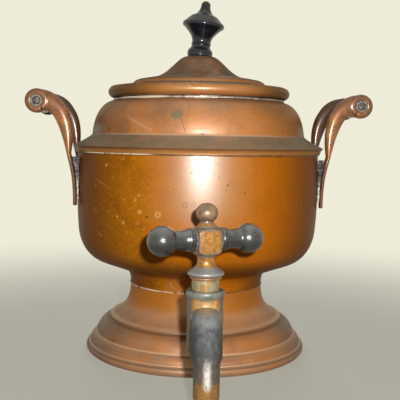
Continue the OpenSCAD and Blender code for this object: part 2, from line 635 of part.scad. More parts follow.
boss_corner_r = 0.688 * boss_w;           // over the boss's rounded corners
module boss() intersection() {
    translate([-boss_w / 2, -boss_w / 2, boss_z]) cube([boss_w, boss_w, boss_h]);
    rotate_extrude() polygon(concat([[0, boss_z]],
        bezier([0.44 * boss_w, boss_z], [0.6 * boss_w, boss_z + 0.8], [boss_corner_r, boss_z + 2.2],
               [boss_corner_r, boss_z + 5], 6),
        bezier([boss_corner_r, boss_z + boss_h - 5], [boss_corner_r, boss_z + boss_h - 2.2],
               [0.6 * boss_w, boss_z + boss_h - 0.8], [0.44 * boss_w, boss_z + boss_h], 6),
        [[0, boss_z + boss_h]]));
}

key_stud_r = 3;
nut_h = 4.2;
key_washer_t = 1.4;
key_stud_l = key_washer_t + nut_h + 1;    // from the plug's end to just past the nut
module tap_key() color(patina) at_key() difference() {
    union() {
        key_turned();
        boss();
        translate([0, 0, plug_bottom]) cylinder(r1 = plug_r_at(plug_bottom), r2 = plug_r,
            h = barrel_top - plug_bottom + EPS);
        translate([0, 0, plug_bottom - key_stud_l]) cylinder(r = key_stud_r, h = key_stud_l + EPS, $fn = 48);
    }
    translate([0, 0, flow_z]) rotate([0, 90, 0])
        cylinder(r = way_r, h = 4 * plug_r, center = true, $fn = 64);
    translate([0, 0, handle_z]) rotate([0, 90, 0])
        cylinder(r = rod_r + fit, h = 2 * boss_w, center = true, $fn = 48);
}

key_washer_z = plug_bottom - key_washer_t - seat;
module key_washer() color(patina) at_key() translate([0, 0, key_washer_z]) difference() {
    cylinder(r = plug_end_r + 2.2, h = key_washer_t);
    translate([0, 0, -1]) cylinder(r = key_stud_r + fit, h = 4, $fn = 48);
}
module key_nut() color(patina) at_key() translate([0, 0, key_washer_z - seat - nut_h]) difference() {
    cylinder(r = 2 * key_stud_r, h = nut_h, $fn = 6);
    translate([0, 0, -1]) cylinder(r = key_stud_r + fit, h = nut_h + 2, $fn = 48);
}

ferrule_t = 1.4;
ferrule_r = 8.8;
ferrule_x = boss_w / 2 + seat;
wood_x = ferrule_x + ferrule_t + seat;
rod_half = handle_ball_x - 4;
module along_handle() at_key() translate([0, 0, handle_z]) rotate([0, 90, 0]) children();

module handle_rod() color(patina) along_handle()
    cylinder(r = rod_r, h = 2 * rod_half, center = true, $fn = 48);
module handle_ferrules() color("#8f8a7a") along_handle() for (side = [0, 1]) mirror([0, 0, side])
    translate([0, 0, ferrule_x]) difference() {
        rotate_extrude() polygon([[0, 0], [ferrule_r - 0.4, 0], [ferrule_r, 0.4],
            [ferrule_r, ferrule_t - 0.4], [ferrule_r - 0.4, ferrule_t], [0, ferrule_t]]);
        translate([0, 0, -1]) cylinder(r = rod_r + fit, h = ferrule_t + 2, $fn = 48);
    }

ball_join = 44;           // half the angle that the arm's neck covers on the ball, degrees
wood_end_r = ferrule_r + 0.2;
wood_profile = concat(
    [[0, wood_x], [wood_end_r - 0.4, wood_x], [wood_end_r, wood_x + 0.5], [wood_end_r, wood_x + 2],
     [wood_end_r - 0.7, wood_x + 2.6], [wood_end_r - 0.7, wood_x + 2.9], [wood_end_r - 0.2, wood_x + 3.4]],
    bezier([wood_end_r - 0.3, wood_x + 4.2], [handle_waist_r, wood_x + 7], [handle_waist_r, wood_x + 10],
           [handle_ball_r * sin(ball_join), handle_ball_x - handle_ball_r * cos(ball_join)], 8),
    arc([0, handle_ball_x], handle_ball_r, ball_join - 90, 90, 18));
module wooden_arm() difference() {
    rotate_extrude() polygon(wood_profile);
    cylinder(r = rod_r + fit, h = rod_half + 0.5, $fn = 48);
}
module handle_arm_right() color(ebony) along_handle() wooden_arm();
module handle_arm_left() color(ebony) along_handle() mirror([0, 0, 1]) wooden_arm();

foot();
neck_seam();
bowl();
bowl_floor();
shoulder();
shoulder_seam();
mouth_collar();
lid();
lid_flange();
finial();
finial_stud();
finial_washer();
finial_nut();
arm_left_front();
arm_left_rear();
arm_right_front();
arm_right_rear();
arm_solder_left();
arm_solder_right();
grip_left();
grip_right();
grip_washers_left();
grip_washers_right();
grip_screws_left();
grip_screws_right();
tap_socket();
tap_gasket();
tap_body();
tap_key();
handle_rod();
handle_ferrules();
handle_arm_left();
handle_arm_right();
key_washer();
key_nut();
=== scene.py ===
# %% [markdown]
# # A copper urn for hot drinks
#
# This lesson dresses a finished engineering model of an old spun-copper urn. The frame that
# is loaded first holds every solid in its true place and size. Around it we turn the sheet
# copper again with small dents, solder the seams, cast the tap and the scroll handles, and
# then spend most of the work on the metal: lacquer gone amber, dust, verdigris and wear.

# %% Load the frame
import math

import bmesh
import bpy
from mathutils import Matrix, Vector, noise


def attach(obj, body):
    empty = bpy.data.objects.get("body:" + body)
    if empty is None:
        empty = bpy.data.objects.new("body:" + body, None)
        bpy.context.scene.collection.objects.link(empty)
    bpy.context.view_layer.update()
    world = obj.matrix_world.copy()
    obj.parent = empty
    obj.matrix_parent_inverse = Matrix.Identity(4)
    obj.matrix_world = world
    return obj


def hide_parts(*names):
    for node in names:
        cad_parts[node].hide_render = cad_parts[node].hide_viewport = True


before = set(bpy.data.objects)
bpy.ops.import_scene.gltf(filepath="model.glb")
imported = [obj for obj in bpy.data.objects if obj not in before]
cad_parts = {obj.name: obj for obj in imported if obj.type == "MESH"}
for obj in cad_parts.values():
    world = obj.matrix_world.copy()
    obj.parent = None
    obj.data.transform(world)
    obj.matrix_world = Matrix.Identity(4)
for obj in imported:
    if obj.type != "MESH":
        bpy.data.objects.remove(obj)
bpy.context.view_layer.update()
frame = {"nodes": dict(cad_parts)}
nodes = frame["nodes"]
MM = 0.001
FULL_TURN = 2 * math.pi
QUARTER_TURN = math.pi / 2
print("the frame has", len(nodes), "solids")

# %% [markdown]
# ## Small helpers
#
# Six short words do what the lesson needs again and again: show an object, shift or turn a
# place, move a mesh, take in another, and saw off what is too much. A mesh under work is a
# bmesh, a table of points, edges and faces that is edited before it becomes an object.


# %% Helpers
def show(name, data):
    """An object of some data, linked to the scene."""
    made = bpy.data.objects.new(name, data)
    bpy.context.scene.collection.objects.link(made)
    return made


def at(x, y, z):
    """A shift by x, y and z."""
    return Matrix.Translation((x, y, z))


def turned(angle, axis):
    """A turn round an axis, in radians."""
    return Matrix.Rotation(angle, 4, axis)


def move(mesh, matrix):
    """Moves all points of a bmesh."""
    bmesh.ops.transform(mesh, matrix=matrix, verts=mesh.verts)


def take_in(whole, part):
    """Puts the faces of one bmesh into another."""
    holder = bpy.data.meshes.new("holder")
    part.to_mesh(holder)
    part.free()
    whole.from_mesh(holder)
    bpy.data.meshes.remove(holder)


def saw(mesh, point, out):
    """Cuts off what lies beyond a plane, and returns the edges that this leaves open."""
    bmesh.ops.bisect_plane(mesh, geom=mesh.verts[:] + mesh.edges[:] + mesh.faces[:],
                           plane_co=point, plane_no=out, clear_outer=True)
    return [edge for edge in mesh.edges if edge.is_boundary]


print("helpers for objects, places and meshes are ready")

# %% [markdown]
# ## The camera
#
# The urn is seen from the height of its shoulder and slightly from its left, with a longish
# lens, so that its rings show as flat ovals. The camera could be aimed with a constraint, but
# a plain direction with a small roll is easier to repeat.

# %% Camera
EYE = Vector((-0.0324, -0.7130, 0.2012))
YAW, PITCH, ROLL = (math.radians(angle) for angle in (2.6, -4.744, 0.974))
LENS_MM, SENSOR_MM, SIDE_SHIFT, NEAR = 67.05, 36, 0.00725, 0.01
aim = Vector((math.sin(YAW) * math.cos(PITCH), math.cos(YAW) * math.cos(PITCH), math.sin(PITCH)))
camera = show("camera", bpy.data.cameras.new("camera"))
camera.data.lens, camera.data.sensor_width = LENS_MM, SENSOR_MM
camera.data.shift_x, camera.data.clip_start = SIDE_SHIFT, NEAR
camera.matrix_world = at(*EYE) @ aim.to_track_quat("-Z", "Y").to_matrix().to_4x4() @ turned(ROLL, "Z")
bpy.context.scene.camera = camera
print("the camera stands", round(EYE.length, 3), "m from the foot's middle")

# %% [markdown]
# ## Curves and sections
#
# A spinner pushes a sheet over a wooden former, so each shell is one outline turned round the
# axis. We draw outlines as lists of (radius, height) in millimetres, from smooth curves and
# arcs, and give a sheet its thickness by setting the same line a little to one side.


# %% Outline helpers
SHEET_MM, SAME_MM = 1.2, 0.02


def on_curve(handles, t):
    """The point at t, from 0 to 1, of the smooth curve that four handles shape."""
    weights = ((1 - t) ** 3, 3 * (1 - t) ** 2 * t, 3 * (1 - t) * t**2, t**3)
    return tuple(sum(w * p[k] for w, p in zip(weights, handles)) for k in (0, 1))


def curve(start, pull, lean, end, count=12):
    """Points on the smooth curve from start to end that its two inner handles shape."""
    return [on_curve((start, pull, lean, end), i / count) for i in range(count + 1)]


def arc(middle, radius, first, last, count=12):
    """Points round a middle, between two angles in degrees."""
    angles = [math.radians(first + (last - first) * i / count) for i in range(count + 1)]
    return [(middle[0] + radius * math.cos(a), middle[1] + radius * math.sin(a)) for a in angles]


def tidy(line):
    """The line without points that repeat the one before."""
    kept = [line[0]]
    for point in line[1:]:
        if math.dist(point, kept[-1]) > SAME_MM:
            kept.append(point)
    return kept


def set_aside(line, gap):
    """The same line, moved to the right of its direction by gap."""
    moved = []
    last = len(line) - 1
    for i, point in enumerate(line):
        normals = []
        for a, b in ((max(i - 1, 0), max(i, 1)), (min(i, last - 1), min(i + 1, last))):
            run = Vector(line[b]) - Vector(line[a])
            normals.append(Vector((run.y, -run.x)).normalized())
        total = normals[0] + normals[1]
        moved.append(tuple(Vector(point) + total * (2 * gap / total.length_squared)))
    return moved


def sheet(line, thickness=SHEET_MM):
    """The closed section of a sheet whose outside follows the line."""
    line = tidy(line)
    return line + set_aside(line, thickness)[::-1]


print("a sheet's section has twice the points of its outline")

# %% [markdown]
# ## From section to mesh
#
# The spin operator is a lathe: it sweeps the section round an axis in many steps. A closed
# section makes a ring with two walls, and an open one that starts and ends on the axis makes
# a solid. Edges that turn sharply stay crisp, and the rest is shaded smooth.


# %% Lathe
CREASE = math.radians(40)
WELD_MM = 0.005


def finish_piece(name, mesh_in_mm, body, replaced=()):
    """Turns a bmesh in millimetres into a piece that rides on a body."""
    bmesh.ops.scale(mesh_in_mm, vec=(MM, MM, MM), verts=mesh_in_mm.verts)
    bmesh.ops.recalc_face_normals(mesh_in_mm, faces=mesh_in_mm.faces)
    for face in mesh_in_mm.faces:
        face.smooth = True
    for edge in mesh_in_mm.edges:
        edge.smooth = len(edge.link_faces) == 2 and edge.calc_face_angle() < CREASE
    mesh = bpy.data.meshes.new(name)
    mesh_in_mm.to_mesh(mesh)
    mesh_in_mm.free()
    piece = show(name, mesh)
    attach(piece, body)
    if replaced:
        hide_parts(*replaced)
    print(name, len(mesh.polygons), "faces")
    return piece


def lathe(outline, closed=True, steps=160):
    """A bmesh of the outline turned round the Z axis."""
    shell = bmesh.new()
    points = [shell.verts.new((r, 0, z)) for r, z in outline]
    after = points[1:] + points[:1] if closed else points[1:]
    lines = [shell.edges.new(pair) for pair in zip(points, after)]
    bmesh.ops.spin(shell, geom=points + lines, axis=(0, 0, 1), cent=(0, 0, 0),
                   angle=FULL_TURN, steps=steps, use_merge=True)
    bmesh.ops.remove_doubles(shell, verts=shell.verts, dist=WELD_MM)
    bmesh.ops.recalc_face_normals(shell, faces=shell.faces)
    return shell


# %% [markdown]
# ## Dents
#
# A hundred years of use leaves a spun shell slightly out of round. Moving every point inward
# by a slow noise of its place keeps both walls together, and moving only inward keeps the
# shell inside its true size.


# %% Dent helper
def dent(shell, depth, size, seed=0.0, lift=0.0):
    """Moves a shell's points towards the axis, and down by lift, by a slow noise."""
    for point in shell.verts:
        radius = math.hypot(point.co.x, point.co.y)
        if radius < 1:
            continue
        place = Vector((point.co.x, point.co.y, point.co.z)) / size + Vector((seed, seed, 0))
        push = 0.5 + 0.5 * noise.noise(place)
        point.co.x *= 1 - depth * push / radius
        point.co.y *= 1 - depth * push / radius
        point.co.z -= lift * (0.5 + 0.5 * noise.noise(place + Vector((7, 3, 0))))


print("noise at the front of the bowl:", round(noise.noise(Vector((0, -1.3, 2.1))), 3))

# %% [markdown]
# ## The foot
#
# The foot is one spinning: a bell that flows down from the neck to a small rounded lip, then a
# band that bellies out, a narrow bead, and a rim rolled round a wire. The creases between them
# could be grooves cut in a plain cone, but a spinner folds them, so the line itself turns. The
# rim is worn flat where it stands.

# %% Foot
NECK_R, SEAM_Z = 62.8, 63.6
RIM_C, RIM_R = (100.1, 4.1), 4.4
LIP_C, LIP_R = (80.7, 32.2), 1.8
rim_start = arc(RIM_C, RIM_R, 78, 78, 1)[0]
lip_start = arc(LIP_C, LIP_R, 68, 68, 1)[0]
foot_line = (
    [(NECK_R, SEAM_Z)]
    + curve((NECK_R, 62.6), (63.2, 46.0), (lip_start[0] - 12.5, lip_start[1] + 5.05), lip_start, 30)
    + arc(LIP_C, LIP_R, 68, 0, 8)
    + curve((82.8, 31.3), (88.9, 29.1), (93.5, 24.7), (94.6, 17.6), 20)
    + curve((95.1, 16.5), (97.7, 15.3), (rim_start[0] - 0.2, rim_start[1] + 4.4),
            (rim_start[0] - 0.3, rim_start[1] + 0.7), 12)
    + arc(RIM_C, RIM_R, 78, -150, 40))
foot_mesh = lathe(sheet(foot_line))
dent(foot_mesh, 0.4, 55, 3.1)
bmesh.ops.bridge_loops(foot_mesh, edges=saw(foot_mesh, (0, 0, 0), (0, 0, -1)))
finish_piece("spun_foot", foot_mesh, "urn", ["foot"])

# %% [markdown]
# ## The bowl
#
# The bowl is spun in one piece too, from the neck up. Its wall is nearly straight and its heel
# is a long soft curve. The shoulder's rim laps over its top edge, and soldering it there has
# drawn the wall in by a hair, which is where the bowl catches the light.

# %% Bowl
BOWL_R, TOP_Z = 114.3, 187.4
DRAWN_IN, DRAWN_FROM_Z, DRAWN_OVER = 0.9, 150, 38
TURN, HEEL, WALL = (71.5, 78.6), (95.0, 87.4), (112.4, 115.5)
bowl_line = (
    [(BOWL_R, TOP_Z + 2)]
    + curve((BOWL_R, TOP_Z - 10), (BOWL_R, 141.5), (113.3, 124.5), WALL, 30)
    + curve(WALL, (110.8, 100.0), (102.5, 90.3), HEEL, 26)
    + curve(TURN, (66.5, 77.3), (63.15, 74.0), (NECK_R, SEAM_Z + 1), 18)
    + [(NECK_R, SEAM_Z + 0.1)])
bowl_mesh = lathe(sheet(bowl_line), steps=192)
for point in bowl_mesh.verts:
    lean_in = DRAWN_IN * (max(point.co.z - DRAWN_FROM_Z, 0) / DRAWN_OVER) ** 2 / BOWL_R
    point.co.x *= 1 - lean_in
    point.co.y *= 1 - lean_in
dent(bowl_mesh, 0.3, 70, 1.7)
finish_piece("spun_bowl", bowl_mesh, "urn", ["bowl"])

# %% [markdown]
# ## Shoulder and dome
#
# The shoulder flares out to a ledge above the bowl and rises as a dome to the mouth. It has
# had the hardest life: the mouth has been knocked, so its edge wavers.

# %% Shoulder
LEDGE, ROOT, MOUTH, RIM_FOOT = (118.6, 193.2), (100.2, 204.2), (76.8, 235.8), (115.55, 188.3)
shoulder_line = (
    curve(MOUTH, (91.4, 235.4), (98.6, 222.0), ROOT, 34)
    + curve(ROOT, (101.6, 201.8), (109.1, 197.8), LEDGE, 16)
    + curve(LEDGE, (117.0, 192.0), (115.55, 190.5), RIM_FOOT, 10))
shoulder_mesh = lathe(sheet(shoulder_line), steps=192)
dent(shoulder_mesh, 0.5, 45, 5.3, lift=0.5)
finish_piece("spun_shoulder", shoulder_mesh, "urn", ["shoulder"])

# %% [markdown]
# ## The lid
#
# The lid is a bell on a raised plate, and its edge is rolled round a wire into a fat bead. It
# is knocked about as well, so its plate and bead are gently uneven.

# %% Lid
LID_Z, CROWN_Z = 243.3, 277.9
RING, RING_R = (80.2, LID_Z), 5.4
rim_join = arc(RING, RING_R, 108, 108, 1)[0]
lid_line = (
    [(2.75, CROWN_Z)]
    + curve((12.6, CROWN_Z), (20.5, CROWN_Z), (29.0, 260.3), (43.5, 257.9), 34)
    + curve((56.0, 255.6), (59.6, 255.2), (62.4, 253.6), (63.2, 250.9), 14)
    + curve((63.2, 250.9), (65.2, 249.5), (rim_join[0] - 6, rim_join[1] + 1.0), rim_join, 12)
    + arc(RING, RING_R, 108, -185, 44))
lid_mesh = lathe(sheet(lid_line), steps=192)
dent(lid_mesh, 0.4, 36, 8.9, lift=0.4)
finish_piece("spun_lid", lid_mesh, "lid", ["lid"])

# %% [markdown]
# ## Solder seams and the mouth's lining
#
# Tin solder joins the foot to the bowl and the shoulder to the bowl, and a tinned ring lines
# the mouth. A seam could be a perfect ring, but solder runs and sags, so its bead is swept
# with a noise that swells and shrinks it.


# %% Seams
def solder_ring(name, radius, height, thick, replaced, seed):
    """A wavering half-round bead of solder round a seam."""
    bead = lathe(arc((radius, height), thick, -90, 90, 10), steps=256)
    for point in bead.verts:
        out = Vector((point.co.x, point.co.y, 0)).normalized()
        swell = 0.72 + 0.28 * noise.noise(out * 9 + Vector((seed, 0, 0)))
        middle = out * radius + Vector((0, 0, height))
        point.co = middle + (point.co - middle) * swell
    finish_piece(name, bead, "urn", [replaced])


SEAM_GAP, BEAD_R = 0.03, 0.8
solder_ring("neck_solder", NECK_R + SEAM_GAP, SEAM_Z, BEAD_R, "neck_seam", 2.0)
solder_ring("shoulder_solder", BOWL_R + SEAM_GAP, TOP_Z, BEAD_R, "shoulder_seam", 6.0)

collar_line = [(75.45, 228.8), (76.65, 228.8), (76.65, 235.83), (80.6, 235.83), (80.6, 237.1),
               (80.1, 237.6), (76.2, 237.6), (75.45, 237.2)]
collar_mesh = lathe(collar_line, steps=192)
bmesh.ops.bevel(collar_mesh, geom=[e for e in collar_mesh.edges if e.calc_face_angle() > CREASE],
                offset=0.25, segments=2, affect="EDGES", profile=0.5, material=-1)
dent(collar_mesh, 0.15, 26, 4.4, lift=0.9)
finish_piece("tinned_collar", collar_mesh, "urn", ["mouth_collar"])

# %% [markdown]
# ## The finial
#
# The knob is turned from wood and blackened. It is one open outline spun round the axis, then
# leaned over, because its stud is bent, and cut flat where it sits on the crown.

# %% Finial
LEAN = math.radians(6.2)
BASE_R, TOP, DISC_Z, WAIST = 11.9, 53.4, 30.81, 8.806
finial_line = tidy(
    [(0, -3), (BASE_R - 0.7, -3), (BASE_R - 0.7, 0)]
    + arc((BASE_R - 2.6, 2.6), 2.6, -40, 0, 8)
    + curve((BASE_R, 5.2), (BASE_R, 8.2), (WAIST, 8.2), (WAIST, 11.8), 12)
    + arc((WAIST - 0.3, 13.2), 0.9, -60, 60, 8)
    + curve((WAIST, 14.6), (WAIST, 18.6), (10.7, DISC_Z - 9), (17.5, DISC_Z - 3), 16)
    + arc((16.9, DISC_Z), 2.8, -48, 55, 12)
    + curve((17.7, DISC_Z + 2.8), (15.5, DISC_Z + 5.4), (13.7, DISC_Z + 6.6), (12.3, DISC_Z + 8.2), 10)
    + curve((11.5, DISC_Z + 8.5), (7.3, DISC_Z + 10), (5.3, DISC_Z + 13), (4.4, TOP - 5.5), 14)
    + arc((0, TOP - 4.5), 4.5, 8, 90, 12))
finial_mesh = lathe(finial_line, closed=False, steps=72)
move(finial_mesh, at(0, 0, CROWN_Z) @ turned(LEAN, "Y") @ at(0, 0, -BASE_R * math.sin(LEAN)))
bmesh.ops.holes_fill(finial_mesh, edges=saw(finial_mesh, (0, 0, CROWN_Z + SEAM_GAP), (0, 0, -1)))
finish_piece("turned_finial", finial_mesh, "lid", ["finial"])

# %% [markdown]
# ## Scroll arms
#
# Each handle hangs between two cast arms. An arm starts as a thin tail soldered down the bowl,
# swells into a round horn and ends in a scroll eye. We extrude an oval along its line, ring by
# ring, add the eye, and let a voxel remesh melt the two together, as a casting is one metal.


# %% Arm helpers
def along(line, t):
    """A point of a smooth curve that lies in the X-Z plane."""
    x, z = on_curve(line, t)
    return Vector((x, 0, z))


ARM_Y = 32.0
EYE_XZ, EYE_R, EYE_HALF, DISH, EDGE_R = (147.0, 232.5), 11.0, 4.8, 0.7, 3.0
at_eye = at(EYE_XZ[0], 0, EYE_XZ[1])
HIP = (118.6, 186.0)
TAIL = [(112.93, 138.5), (112.73, 164.0), (115.2, 172.0), HIP]
HORN = [HIP, (119.0, 207.0), (123.5, 235.9), EYE_XZ]
TAIL_RINGS, HORN_RINGS = 14, 30
TAIL_DEPTH, HORN_DEPTH, HALF_WIDTH, SWELL_END = 1.9, 2.2, 4.4, 0.62


def arm_stations():
    """Place, half depth and half width of the arm's rings, from the tail's tip to the eye."""
    rings = []
    for i in range(TAIL_RINGS):
        t = i / TAIL_RINGS
        depth = TAIL_DEPTH + (HORN_DEPTH - TAIL_DEPTH) * t
        rings.append((along(TAIL, t), depth, HALF_WIDTH * (0.72 + 0.28 * t)))
    for i in range(HORN_RINGS + 1):
        t = 0.94 * i / HORN_RINGS
        swell = math.sin(QUARTER_TURN * min(t / SWELL_END, 1))
        depth = HORN_DEPTH + 5.0 * swell + 9 * max(t - SWELL_END, 0)
        rings.append((along(HORN, t), depth, HALF_WIDTH))
    return rings


def sweep_arm(arm):
    """Extrudes an oval along the arm's stations."""
    rings = arm_stations()
    places = []
    for i, (middle, depth, width) in enumerate(rings):
        run = (rings[min(i + 1, len(rings) - 1)][0] - rings[max(i - 1, 0)][0]).normalized()
        side = Vector((run.z, 0, -run.x))
        places.append(at(*middle) @ Matrix((
            (side.x * depth, 0, run.x, 0), (0, width, 0, 0), (side.z * depth, 0, run.z, 0), (0, 0, 0, 1))))
    bmesh.ops.create_circle(arm, cap_ends=True, segments=28, radius=1)
    move(arm, places[0])
    arm.faces.ensure_lookup_table()
    cap = arm.faces[0]
    for before, here in zip(places, places[1:]):
        grown = bmesh.ops.extrude_face_region(arm, geom=[cap], use_keep_orig=before is places[0])
        cap = next(item for item in grown["geom"] if isinstance(item, bmesh.types.BMFace))
        bmesh.ops.transform(arm, matrix=here @ before.inverted(), verts=cap.verts)


def add_eye(arm):
    """Adds the scroll's eye, a round-edged disc with a shallow dish for the washer."""
    outline = tidy(
        [(0, EYE_HALF - DISH), (5.6, EYE_HALF - DISH), (5.9, EYE_HALF)]
        + arc((EYE_R - EDGE_R, EYE_HALF - EDGE_R), EDGE_R, 90, 0, 8)
        + arc((EYE_R - EDGE_R, EDGE_R - EYE_HALF), EDGE_R, 0, -90, 8) + [(0, -EYE_HALF)])
    eye = lathe(outline, closed=False, steps=64)
    move(eye, at_eye @ turned(QUARTER_TURN, "X"))
    take_in(arm, eye)


print("an arm has", TAIL_RINGS + HORN_RINGS + 1, "rings")

# %% [markdown]
# A voxel remesh makes one skin of overlapping solids. It runs as a modifier whose result is
# kept as the mesh, and a few smoothing passes round off what the voxels leave. Between the two
# a boolean may cut a notch: under its eye the scroll's curled end stands just clear of the arm.


# %% Melt helper
def melt(piece, voxel_mm, passes, strength=0.5, cutter=None):
    """Fuses a piece's overlapping solids into one smooth skin, and cuts a notch in it."""
    remesh = piece.modifiers.new("melt", "REMESH")
    remesh.mode = "VOXEL"
    remesh.voxel_size = voxel_mm * MM
    remesh.use_smooth_shade = True
    if cutter:
        notch = piece.modifiers.new("notch", "BOOLEAN")
        notch.object = cutter
    smooth = piece.modifiers.new("soften", "SMOOTH")
    smooth.factor = strength
    smooth.iterations = passes
    view = bpy.context.evaluated_depsgraph_get()
    melted = bpy.data.meshes.new_from_object(piece.evaluated_get(view))
    piece.modifiers.clear()
    old = piece.data
    piece.data = melted
    bpy.data.meshes.remove(old)
    melted.name = piece.name
    melted.polygons.foreach_set("use_smooth", [True] * len(melted.polygons))
    if cutter:
        bpy.data.objects.remove(cutter)
    print(piece.name, "melted into", len(melted.polygons), "faces")
    return piece


# %% Arms
CURL, CURL_GAP, CURL_L = math.radians(124), 1.4, 3.6


def curl_cutter(place):
    """A flat block that reaches into the scroll's eye from below, for the arm at a place."""
    block = bmesh.new()
    bmesh.ops.create_cube(block, size=1)
    reach = at(EYE_R - CURL_L + 5, 0, 0) @ Matrix.Diagonal((10, 30, CURL_GAP, 1))
    move(block, Matrix.Scale(MM, 4) @ place @ at_eye @ turned(CURL, "Y") @ reach)
    bmesh.ops.recalc_face_normals(block, faces=block.faces)
    data = bpy.data.meshes.new("curl")
    block.to_mesh(data)
    block.free()
    return show("curl", data)


arms = []
SIDES = (("left", -1), ("right", 1))
for side, x_sign in SIDES:
    for end, y_sign in (("front", -1), ("rear", 1)):
        arm_mesh = bmesh.new()
        sweep_arm(arm_mesh)
        add_eye(arm_mesh)
        place = Matrix.Diagonal((x_sign, -y_sign, 1, 1)) @ at(0, -ARM_Y, 0)
        move(arm_mesh, place)
        name = f"scroll_arm_{side}_{end}"
        arm = finish_piece(name, arm_mesh, "urn", [f"arm_{side}_{end}"])
        arms.append(melt(arm, 0.5, 6, cutter=curl_cutter(place)))

# %% [markdown]
# ## The tap's body
#
# The body is one casting: barrel, inlet and spout. The frame's solid has the right form with
# sharp joins, so a copy of it is merged, melted and softened until the joins look cast.


# %% Tap body
def cast_copy(name, node, body, voxel_mm, passes):
    """A softened copy of a solid of the frame, which it replaces."""
    casting = bmesh.new()
    casting.from_mesh(nodes[node].data)
    bmesh.ops.remove_doubles(casting, verts=casting.verts, dist=0.01 * MM)
    bmesh.ops.scale(casting, vec=(1 / MM, 1 / MM, 1 / MM), verts=casting.verts)
    return melt(finish_piece(name, casting, body, [node]), voxel_mm, passes)


cast_copy("cast_tap", "tap_body", "urn", 0.6, 7)

# %% [markdown]
# ## Solder under the tails
#
# Each tail sits on a run of solder that oozed out at both sides. The frame's strip is exact but
# even, so a softened copy of it is swelled and pinched along its length by noise.

# %% Solder runs
def solder_run(name, node):
    """A softened copy of a pair of solder strips, made lumpy."""
    run = cast_copy(name, node, "urn", 0.35, 3)
    for point in run.data.vertices:
        middle = math.copysign(ARM_Y * MM, point.co.y)
        lump = noise.noise(Vector((point.co.x, point.co.y * 0.2, point.co.z)) * 260)
        point.co.y = middle + (point.co.y - middle) * (1.5 + 0.9 * lump)


for side, x_sign in SIDES:
    solder_run(f"solder_run_{side}", f"arm_solder_{side}")

# %% [markdown]
# ## The tap's key
#
# The key is turned and then filed: plug, flange, stem and ball are one outline on the lathe,
# and the square boss in the middle is cut from a barrel-shaped blank by four flat planes.

# %% Tap key
TAP_Y = -163.0
HANDLE_TURN = math.radians(19)
BARREL_TOP, FLANGE_Z, HANDLE_Z = 88.6, 101.2, 126.0
BOSS_W, BOSS_H, BOSS_Z = 18.6, 20.6, 114.8
PLUG_R, PLUG_FOOT = 10.4, 41.7
NECK_TOP = 140.0
BALL_R, BALL_NECK_R, BALL_FLAT = 8.4, 5.1, 0.9
BALL_Z = NECK_TOP + BALL_FLAT * math.sqrt(BALL_R**2 - BALL_NECK_R**2)
ball_start = -math.degrees(math.acos(BALL_NECK_R / BALL_R))
stem_line = tidy(
    [(0, PLUG_FOOT - 8.4), (3, PLUG_FOOT - 8.4), (3, PLUG_FOOT - 1.7), (8.6, PLUG_FOOT - 1.7),
     (PLUG_R, BARREL_TOP), (PLUG_R, FLANGE_Z - 4.4)]
    + arc((PLUG_R + 0.6, FLANGE_Z - 3.4), 1, -90, 50, 8)
    + curve((PLUG_R + 1.6, FLANGE_Z - 2.2), (13.4, FLANGE_Z - 1.9), (13.9, FLANGE_Z - 1.2),
            (13.9, FLANGE_Z - 0.5), 8)
    + curve((13.9, FLANGE_Z + 0.4), (12.9, FLANGE_Z + 2.2), (6.8, FLANGE_Z + 4), (6.6, FLANGE_Z + 9), 16)
    + curve((6.6, FLANGE_Z + 9.4), (6.7, BOSS_Z - 2), (7.5, BOSS_Z - 0.6), (8.2, BOSS_Z + 0.8), 8)
    + curve((8.4, BOSS_Z + BOSS_H - 1), (7.6, BOSS_Z + BOSS_H + 1.8), (5.1, BOSS_Z + BOSS_H + 2.4),
            (BALL_NECK_R, NECK_TOP), 10)
    + [(r, BALL_Z + BALL_FLAT * z) for r, z in arc((0, 0), BALL_R, ball_start, 90, 20)])
key_mesh = lathe(stem_line, closed=False, steps=96)

BOSS_R = 0.688 * BOSS_W
half_boss = [(0, BOSS_Z)] + curve(
    (0.44 * BOSS_W, BOSS_Z), (0.6 * BOSS_W, BOSS_Z + 0.8), (BOSS_R, BOSS_Z + 2.2), (BOSS_R, BOSS_Z + 5), 10)
boss_line = half_boss + [(r, 2 * BOSS_Z + BOSS_H - z) for r, z in half_boss[::-1]]
boss = lathe(boss_line, closed=False, steps=96)
for quarter in range(4):
    out = Vector((math.cos(quarter * QUARTER_TURN), math.sin(quarter * QUARTER_TURN), 0))
    bmesh.ops.holes_fill(boss, edges=saw(boss, out * BOSS_W / 2, out))
filed = [e for e in boss.edges if e.is_manifold and e.calc_face_angle() > math.radians(30)]
bmesh.ops.bevel(boss, geom=filed, offset=0.5, segments=3, affect="EDGES", profile=0.5, material=-1)
take_in(key_mesh, boss)
at_key = at(0, TAP_Y, 0) @ turned(HANDLE_TURN, "Z")
move(key_mesh, at_key)
finish_piece("tap_key_turned", key_mesh, "key", ["tap_key"])

# %% [markdown]
# ## Wooden arms, ferrules and grips
#
# The cross handle has two turned arms, each with rings at the boss and a ball at its end. The
# grips between the scroll eyes are turned as well. All of them are lathe work, laid on their
# sides.

